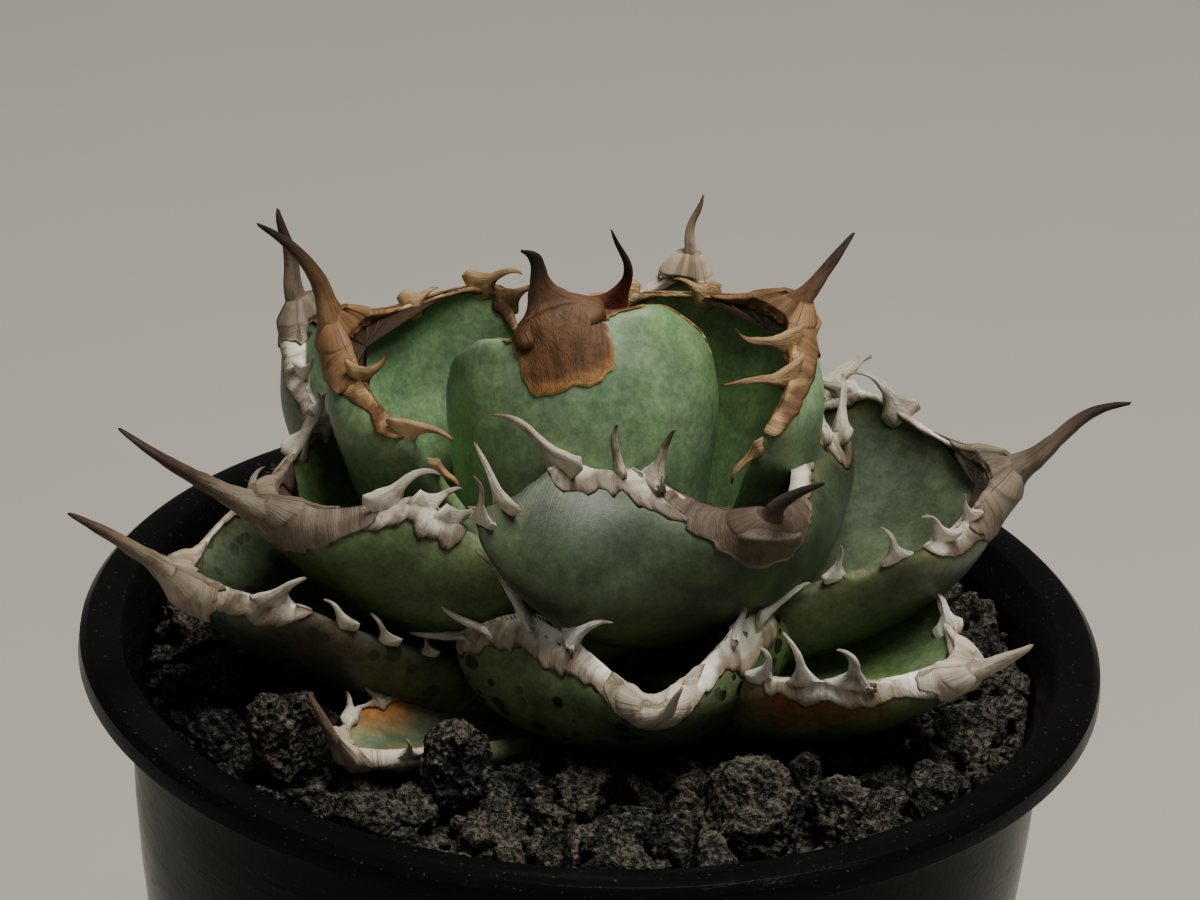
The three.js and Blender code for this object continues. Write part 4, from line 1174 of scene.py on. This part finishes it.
def horn_object(name, leaf, look, material, settings):
    """All the horn of a leaf: bands, cap, teeth and end spine."""
    skins = Skins()
    for side, start in zip((LEFT, RIGHT), look["bands"]):
        add_band(skins, leaf, side, start, look.get("width", 1), settings)
        for key, tooth in enumerate(leaf["teeth"][side]):
            add_tooth(skins, leaf, side, tooth, key + 1 + 10 * (side == RIGHT))
    add_cap(skins, leaf, look, settings)
    add_spine(skins, leaf, look.get("flare", 1), letters(name) % 11)
    return skins.object(f"{name}_horn", material)


class AGAVE_OT_leaves(bpy.types.Operator):
    """Builds every leaf's skin and horn"""

    bl_idname = "agave.leaves"
    bl_label = "Leaves"

    def execute(self, context):
        settings = context.scene.agave_leaves
        for index, name in enumerate(LEAVES):
            look = LOOKS[name]
            leaf = prepare_leaf(name, index)
            leaf.update({key: look[key] for key in ("half", "wrap", "shoulder") if key in look})
            skin = skin_object(f"{name}_skin", leaf, look, leaf_material(name, look), settings)
            finish_piece(skin, "leaf", name)
            horn = horn_object(name, leaf, look, horn_material(look["horn"]), settings)
            finish_piece(horn, "leaf", name)
        return {"FINISHED"}


# Pot

def pot_profile():
    """The pot's section, from the middle of its foot round the outside, over the lip and back inside."""
    inner = WALL_TOP_RADIUS - WALL
    under_lip = LIP_TOP - LIP_SKIRT
    flare = WALL_TOP_RADIUS - FOOT_RADIUS

    def wall(share):
        return FOOT_RADIUS + flare * math.sin(share * math.pi / 2) ** 0.85

    shares = [0.05, 0.12, 0.2, 0.3, 0.4, 0.5, 0.6, 0.7, 0.8, 0.9]
    outside = [(wall(share), FOOT_RISE + share * (under_lip - FOOT_RISE)) for share in shares]
    outline = [(0, 0), (FOOT_RADIUS - 3, 0), (FOOT_RADIUS - 0.9, 1)]
    outline += outside
    outline += [
        (WALL_TOP_RADIUS, under_lip + 0.4), (LIP_RADIUS - 0.9, under_lip), (LIP_RADIUS, under_lip + 0.8),
        (LIP_RADIUS - 0.2, LIP_TOP - 1.4), (LIP_RADIUS - 1.2, LIP_TOP - 0.35), (LIP_RADIUS - 2.8, LIP_TOP),
        (LIP_INNER_RADIUS + 1, LIP_TOP - 0.2), (LIP_INNER_RADIUS, LIP_TOP - 1.2), (inner, LIP_TOP - 4.5),
    ]
    outline += [(radius - WALL, z) for radius, z in outside[::-1] if z > FLOOR + 3]
    outline += [(FOOT_RADIUS - 2.2, FLOOR + 1.6), (FOOT_RADIUS - 4.5, FLOOR), (0, FLOOR)]
    return np.array(outline, float)


def turned(profile, sides):
    """Vertices and faces of a profile turned about the Z axis, from the axis and back to it."""
    angle = turns(sides)
    rows = profile[1:-1]
    rings = np.stack([np.outer(rows[:, 0], np.cos(angle)), np.outer(rows[:, 0], np.sin(angle)),
                      np.repeat(rows[:, 1:], sides, 1)], -1)
    return tube(rings)


class AGAVE_OT_pot(bpy.types.Operator):
    """Builds the plastic pot"""

    bl_idname = "agave.pot"
    bl_label = "Pot"

    def execute(self, context):
        settings = context.scene.agave_pot
        material = surface("black_plastic", "Plastic", {
            "Plastic": tuple(settings.colour), "Dust": tuple(settings.dust)}, 0.04, 0.07)
        pot = one_skin("pot_body", material, *turned(pot_profile(), settings.sides))
        top = FLOOR + 1
        profile = [(0, -1), (DRAIN_RADIUS, -1), (DRAIN_RADIUS, top), (0, top)]
        vertices, faces = turned(np.array(profile, float), DRAIN_SIDES)
        drills = Skins()
        for turn in turns(DRAIN_HOLES):
            drills.add(vertices + (DRAIN_CIRCLE * math.cos(turn), DRAIN_CIRCLE * math.sin(turn), 0), faces)
        drill = drills.object("drain_drill", material)
        cut = pot.modifiers.new("drain", "BOOLEAN")
        cut.operation = "DIFFERENCE"
        cut.solver = "EXACT"
        cut.object = drill
        soften = pot.modifiers.new("rounded", "BEVEL")
        soften.width = POT_ROUNDING * MM
        soften.segments = 3
        soften.angle_limit = math.radians(22)
        bake_modifiers(pot)
        bpy.data.objects.remove(drill)
        finish_piece(pot, "pot_plastic", "pot")
        return {"FINISHED"}


# Rock

ROUGHNESS = {
    "Softness": 2, "Level": 3, "Lump size": 0.004, "Lump height": 0.003, "Pit size": 0.0014,
    "Pit depth": 0.0004, "Material": "NodeSocketMaterial",
}


def geometry_tree(name, inputs):
    """A Geometry Nodes tree with one geometry in, one out, and named inputs."""
    return new_tree(name, "GeometryNodeTree", {"Geometry": GEOMETRY, **inputs}, {"Geometry": GEOMETRY})


def enabled(sockets, kind):
    """The socket of this kind that is in use."""
    return next(socket for socket in sockets if socket.enabled and socket.type == kind)


def grain_of(place, size, share, detail):
    """Noise whose bumps are a share of size across."""
    return wire("ShaderNodeTexNoise", {
        "Vector": place, "Detail": detail, "Roughness": 0.62, "Scale": (1 / share) / size}, "Fac")


def rough_rock(tree, geometry, given, made):
    """Splits a rock's faces finely, softens its edges, makes it craggy and pitted, and ends the tree."""
    split = wire("GeometryNodeSubdivideMesh", {"Mesh": geometry, "Level": given["Level"]})
    place = source(tree, "GeometryNodeInputPosition")
    eased = node(tree, "GeometryNodeBlurAttribute", {"Iterations": given["Softness"]},
                 data_type="FLOAT_VECTOR")
    connect(place, enabled(eased.inputs, "VECTOR"))
    eased = Wire(enabled(eased.outputs, "VECTOR"))
    soft = wire("GeometryNodeSetPosition", {"Geometry": split, "Position": eased})
    size, pit = given["Lump size"], given["Pit size"]
    lumps = grain_of(place, size, 1.0, 4.0) - 0.5
    crags = maths("ABSOLUTE", grain_of(place, size, 0.42, 3.0) - 0.5)
    fine = grain_of(place, size, 0.2, 3.0) - 0.5
    raised = (lumps - crags * 0.35 + fine * 0.38) * given["Lump height"]
    distance, _ = cells(place, 1.0 / pit)
    sunk = ramp(distance, 0.45, 0.1) * given["Pit depth"]
    sunk = sunk * ramp(grain_of(place, pit, 3.0, 1.0), 0.42, 0.6)
    way = source(tree, "GeometryNodeInputNormal")
    push = wire("ShaderNodeVectorMath", {0: way, "Scale": raised - sunk}, operation="SCALE")
    moved = wire("GeometryNodeSetPosition", {"Geometry": soft, "Offset": push})
    finish = wire("GeometryNodeSetMaterial", {"Geometry": moved, "Material": given["Material"]})
    connect(finish, made[0])


def loose_stone_tree():
    """Breaks up the faces of a CAD stone into rough porous rock."""
    tree, given, made = geometry_tree("Loose stone", ROUGHNESS)
    rough_rock(tree, given["Geometry"], given, made)
    return tree


def scatter_tree():
    """Scatters stones over a surface, each turned and scaled by a seeded draw, and roughens them."""
    tree, given, made = geometry_tree("Scattered stones", {
        "Shapes": "NodeSocketCollection", "Spacing": 0.006, "Least": 0.003, "Most": 0.005, "Seed": 3,
        **ROUGHNESS})
    seed = given["Seed"]
    points = wire("GeometryNodeDistributePointsOnFaces", {
        "Mesh": given["Geometry"], "Distance Min": given["Spacing"], "Density Max": 200000.0,
        "Seed": seed}, "Points", distribute_method="POISSON")
    shapes = wire("GeometryNodeCollectionInfo", {
        "Collection": given["Shapes"], "Separate Children": True, "Reset Children": True})
    turn = random_value(tree, "FLOAT_VECTOR", (0, 0, 0), (6.28, 6.28, 6.28), seed)
    size = random_value(tree, "FLOAT", given["Least"], given["Most"], seed)
    stretch = random_value(tree, "FLOAT_VECTOR", (0.78, 0.78, 0.66), (1.2, 1.2, 1.0), seed)
    scale = wire("ShaderNodeVectorMath", {0: stretch, "Scale": size}, operation="SCALE")
    placed = wire("GeometryNodeInstanceOnPoints", {
        "Points": points, "Instance": shapes, "Pick Instance": True, "Rotation": turn, "Scale": scale})
    single = wire("GeometryNodeRealizeInstances", {"Geometry": placed})
    rough_rock(tree, single, given, made)
    return tree


def rock_shapes(count, corners, seed):
    """A collection of angular stones of about radius 1, each with a few dozen faces."""
    draw = seeded_random(seed)
    shapes = bpy.data.collections.new("rock_shapes")
    for i in range(count):
        stone = bmesh.new()
        for _ in range(corners):
            turn = 2 * math.pi * draw()
            up = 2 * draw() - 1
            flat = math.sqrt(1 - up * up)
            corner = Vector((flat * math.cos(turn), flat * math.sin(turn), up))
            stone.verts.new(corner * (0.85 + 0.3 * draw()))
        hull = bmesh.ops.convex_hull(stone, input=stone.verts)
        spare = {part for key in ("geom_interior", "geom_unused") for part in hull[key]
                 if isinstance(part, bmesh.types.BMVert)}
        bmesh.ops.delete(stone, geom=list(spare), context="VERTS")
        mesh = bpy.data.meshes.new(f"rock_shape_{i}")
        stone.to_mesh(mesh)
        stone.free()
        shapes.objects.link(bpy.data.objects.new(mesh.name, mesh))
    return shapes


def random_value(tree, kind, low, high, seed):
    """A seeded draw for each point."""
    made = node(tree, "FunctionNodeRandomValue", data_type=kind)
    low_in, high_in = [socket for socket in made.inputs if socket.enabled and socket.name in ("Min", "Max")]
    connect(low, low_in)
    connect(high, high_in)
    connect(seed, made.inputs["Seed"])
    return Wire(next(socket for socket in made.outputs if socket.enabled))


def run_tree(piece, tree, values):
    """Runs a Geometry Nodes tree on the piece with these inputs and keeps the plain mesh."""
    modifier = piece.modifiers.new("shape", "NODES")
    modifier.node_group = tree
    sockets = {item.name: item.identifier for item in tree.interface.items_tree if item.in_out == "INPUT"}
    for name, value in values.items():
        modifier[sockets[name]] = value
    bake_modifiers(piece)


class AGAVE_OT_stones(bpy.types.Operator):
    """Builds the large loose stones from their CAD shapes"""

    bl_idname = "agave.stones"
    bl_label = "Loose stones"

    def execute(self, context):
        material = lava_material()
        tree = loose_stone_tree()
        for name in sorted(frame["nodes"]):
            if not name.startswith("loose_stone"):
                continue
            mesh = frame["nodes"][name].data.copy()
            merge_corners(mesh)
            piece = link(f"{name}_rough", mesh)
            low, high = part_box(name)
            large = max(high - low) > LARGE_STONE * MM
            run_tree(piece, tree, {
                "Level": 4 if large else 3, "Softness": 6 if large else 3, "Lump size": 0.0052,
                "Lump height": 0.0042, "Pit size": 0.0015, "Pit depth": 0.0009, "Material": material})
            finish_piece(piece, "lava_rock", name)
        return {"FINISHED"}


def merge_corners(mesh):
    """Joins the loose triangles of a CAD mesh."""
    shape = bmesh.new()
    shape.from_mesh(mesh)
    bmesh.ops.remove_doubles(shape, verts=shape.verts, dist=1e-6)
    for face in shape.faces:
        face.smooth = True
    shape.to_mesh(mesh)
    shape.free()


def leaf_ceiling():
    """The CAD leaves as one tree of faces, to keep the bed under them."""
    vertices, faces = [], []
    for name, piece in frame["nodes"].items():
        if name.startswith(("leaf", "bud", "stem")):
            start = len(vertices)
            vertices += [corner.co.copy() for corner in piece.data.vertices]
            faces += [[start + corner for corner in face.vertices] for face in piece.data.polygons]
    return BVHTree.FromPolygons(vertices, faces)


def bed_height(x, y, ceiling, clearance):
    """Height of the bed's surface: gently mounded, and dipped where a leaf lies low over it."""
    share = min(math.hypot(x, y) / BED_EDGE_RADIUS, 1)
    level = LIP_TOP - BED_DEPTH + BED_MOUND * math.cos(share * math.pi / 2)
    level += BED_WAVES * noise.noise(Vector((x / BED_WAVE_LENGTH, y / BED_WAVE_LENGTH, 0)))
    reach = 0.8 * clearance
    for dx, dy in ((0, 0), (reach, 0), (-reach, 0), (0, reach), (0, -reach)):
        start = Vector((x + dx, y + dy, LIP_TOP - RAY_DEPTH)) * MM
        hit = ceiling.ray_cast(start, Vector((0, 0, 1)))[0]
        if hit:
            level = min(level, hit.z / MM - clearance)
    return level


def bed_grid(ceiling, clearance):
    """Rings of points on the bed's surface."""
    rings = []
    for radius in np.linspace(BED_INNER_RADIUS, BED_EDGE_RADIUS, BED_RINGS):
        places = [(radius * math.cos(angle), radius * math.sin(angle)) for angle in turns(BED_SIDES)]
        rings.append([(x, y, bed_height(x, y, ceiling, clearance)) for x, y in places])
    return np.array(rings)


def bed_sheet(name, grid, turn):
    """Part of the bed's surface as an open sheet to scatter stones on, clear of the loose stones."""
    rings, sides = grid.shape[:2]
    boxes = [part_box(stone) for stone in frame["nodes"] if stone.startswith("loose_stone")]
    faces = []
    for ring in range(rings - 1):
        for i in range(sides):
            j = (i + 1) % sides
            middle = (grid[ring, i] + grid[ring + 1, j]) / 2 * MM
            within = turn[0] <= math.atan2(middle[1], middle[0]) % (2 * math.pi) < turn[1]
            covered = any(low.x < middle[0] < high.x and low.y < middle[1] < high.y for low, high in boxes)
            if within and not covered:
                near, far = ring * sides, (ring + 1) * sides
                faces.append([near + i, far + i, far + j, near + j])
    return new_object(name, grid.reshape(-1, 3), faces)


def bed_ground(grid, material):
    """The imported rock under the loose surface, closed down to the growing medium."""
    top = grid - (0, 0, GROUND_SUNK)
    bottom = top[-1] * (0.93, 0.93, 0) + (0, 0, LIP_TOP + BED_BOTTOM)
    hollow = top[0] * (1, 1, 0) + (0, 0, LIP_TOP + BED_BOTTOM)
    return one_skin("bed_ground", material, *tube(np.concatenate([top, [bottom], [hollow]])))


class AGAVE_OT_bed(bpy.types.Operator):
    """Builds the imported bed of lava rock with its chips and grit"""

    bl_idname = "agave.bed"
    bl_label = "Rock bed"

    def execute(self, context):
        settings = context.scene.agave_stones
        material = lava_material()
        ceiling = leaf_ceiling()
        low_grid = bed_grid(ceiling, GROUND_CLEARANCE)
        chip_grid = bed_grid(ceiling, CHIP_CLEARANCE)
        stone_grid = bed_grid(ceiling, STONE_CLEARANCE)
        finish_piece(bed_ground(low_grid, material), "lava_rock", "rock_bed")
        shapes = rock_shapes(count=14, corners=12, seed=5)
        tree = scatter_tree()
        stones = {"Least": settings.least, "Most": settings.most, "Spacing": settings.spacing,
                  "Level": 3, "Softness": 2, "Lump size": 0.0034, "Lump height": 0.0034, "Pit depth": 0.0009}
        chips = {"Least": settings.chips * 0.75, "Most": settings.chips * 1.35,
                 "Spacing": settings.chips * 2.15, "Level": 2, "Softness": 1, "Lump size": 0.0024,
                 "Lump height": 0.0018}
        grit = {"Least": settings.grit * 0.6, "Most": settings.grit * 1.4,
                "Spacing": settings.grit * 2.5, "Level": 0, "Softness": 0, "Lump size": 0.0015,
                "Lump height": 0.0006}
        # Stones and chips start where the leaves no longer hide the bed, and go in two halves of the turn.
        layers = [("bed_grit", grit, low_grid, 13, (0, 2 * math.pi))]
        for k, half in enumerate(((0, math.pi), (math.pi, 2 * math.pi))):
            layers.append((f"bed_stones_{k}", stones, stone_grid[12:-1], 3 + k, half))
            layers.append((f"bed_chips_{k}", chips, chip_grid[6:], 8 + k, half))
        for name, sizes, grid, seed, turn in layers:
            piece = bed_sheet(name, grid, turn)
            run_tree(piece, tree, {**sizes, "Seed": seed, "Shapes": shapes, "Material": material})
            finish_piece(piece, "lava_rock", "rock_bed")
        for piece in list(shapes.objects):
            bpy.data.objects.remove(piece)
        bpy.data.collections.remove(shapes)
        return {"FINISHED"}


# Hidden core

class AGAVE_OT_core(bpy.types.Operator):
    """Finishes the stem, the bud's heart and the growing medium, which keep their CAD shapes"""

    bl_idname = "agave.core"
    bl_label = "Core"

    def execute(self, context):
        soil = surface("growing_medium", "Lava", {
            "Dark": (0.03, 0.022, 0.016), "Brown": (0.09, 0.06, 0.04)}, 0.8)
        core = surface("stem_core", "Lava", {"Dark": (0.16, 0.2, 0.1), "Brown": (0.3, 0.3, 0.17)}, 0.3)
        for name, material in (("growing_medium", soil), ("stem", core), ("bud_heart", core)):
            mesh = frame["nodes"][name].data
            mesh.materials.clear()
            mesh.materials.append(material)
        return {"FINISHED"}


# Stage

def area_light(name, place, size, power, colour):
    """A soft square light that faces the rosette. Its place and size are in metres."""
    data = bpy.data.lights.new(name, "AREA")
    data.shape = "SQUARE"
    data.size = size
    data.energy = power
    data.color = colour
    light = link(name, data)
    light.location = place
    light.rotation_euler = (Vector(LIGHT_AIM) - Vector(place)).to_track_quat("-Z", "Y").to_euler()


class AGAVE_OT_stage(bpy.types.Operator):
    """Sets up the camera, the pale floor and the soft light"""

    bl_idname = "agave.stage"
    bl_label = "Stage"

    def execute(self, context):
        settings = context.scene.agave_stage
        data = bpy.data.cameras.new("photo_camera")
        data.lens = CAMERA_LENS
        data.sensor_width = SENSOR_WIDTH
        data.clip_start = 0.01
        camera = link("photo_camera", data)
        place, aim = Vector(CAMERA_PLACE) * MM, Vector(CAMERA_AIM) * MM
        turn = (aim - place).to_track_quat("-Z", "Y").to_matrix().to_4x4()
        roll = Matrix.Rotation(math.radians(CAMERA_ROLL), 4, "Z")
        camera.matrix_world = Matrix.Translation(place) @ turn @ roll
        context.scene.camera = camera
        corners = np.array([(-1, -1, 0), (1, -1, 0), (1, 1, 0), (-1, 1, 0)]) * FLOOR_REACH
        floor = new_object("floor", corners, [[0, 1, 2, 3]])
        material, tree, shader = new_material("pale_floor")
        cloud = noise_at(source(tree, "ShaderNodeTexCoord", "Object"), 30, 4)
        colour = blend(cloud * 0.25, tuple(settings.floor), tuple(value * 0.85 for value in settings.floor))
        connect(colour, shader.inputs["Base Color"])
        shader.inputs["Roughness"].default_value = 0.9
        floor.data.materials.append(material)
        area_light("overhead", (0.2, -0.02, 1.0), 0.5, settings.key, (1, 0.975, 0.93))
        area_light("front", (-0.7, -0.7, 0.95), 0.9, settings.fill, (1, 0.99, 0.97))
        world = bpy.data.worlds.new("soft_room")
        world.use_nodes = True
        background = world.node_tree.nodes["Background"]
        background.inputs["Color"].default_value = (0.95, 0.95, 0.93, 1)
        background.inputs["Strength"].default_value = 0.11
        context.scene.world = world
        return {"FINISHED"}


class AGAVE_PT_panel(bpy.types.Panel):
    """Lists the pieces of the potted agave"""

    bl_idname = "AGAVE_PT_panel"
    bl_label = "Potted agave"
    bl_space_type = "VIEW_3D"
    bl_region_type = "UI"
    bl_category = "Agave"

    def draw(self, context):
        scene = context.scene
        for settings in (scene.agave_pot, scene.agave_leaves, scene.agave_stones, scene.agave_stage):
            box = self.layout.box()
            for name in settings.__annotations__:
                box.prop(settings, name)
        for operator in OPERATORS:
            self.layout.operator(operator.bl_idname)


SETTINGS = {
    "agave_pot": PotSettings, "agave_leaves": LeafSettings,
    "agave_stones": StoneSettings, "agave_stage": StageSettings,
}
OPERATORS = (AGAVE_OT_stage, AGAVE_OT_pot, AGAVE_OT_bed, AGAVE_OT_stones, AGAVE_OT_leaves, AGAVE_OT_core)


def register():
    """Registers the settings, operators and panel."""
    for kind in (*SETTINGS.values(), *OPERATORS, AGAVE_PT_panel):
        bpy.utils.register_class(kind)
    for name, kind in SETTINGS.items():
        setattr(bpy.types.Scene, name, bpy.props.PointerProperty(type=kind))


def unregister():
    """Takes them out again."""
    for name in SETTINGS:
        delattr(bpy.types.Scene, name)
    for kind in (AGAVE_PT_panel, *OPERATORS[::-1], *SETTINGS.values()):
        bpy.utils.unregister_class(kind)


def main():
    """Builds everything."""
    register()
    bpy.ops.agave.stage()
    bpy.ops.agave.pot()
    bpy.ops.agave.bed()
    bpy.ops.agave.stones()
    bpy.ops.agave.leaves()
    bpy.ops.agave.core()


if __name__ == "__main__":
    main()
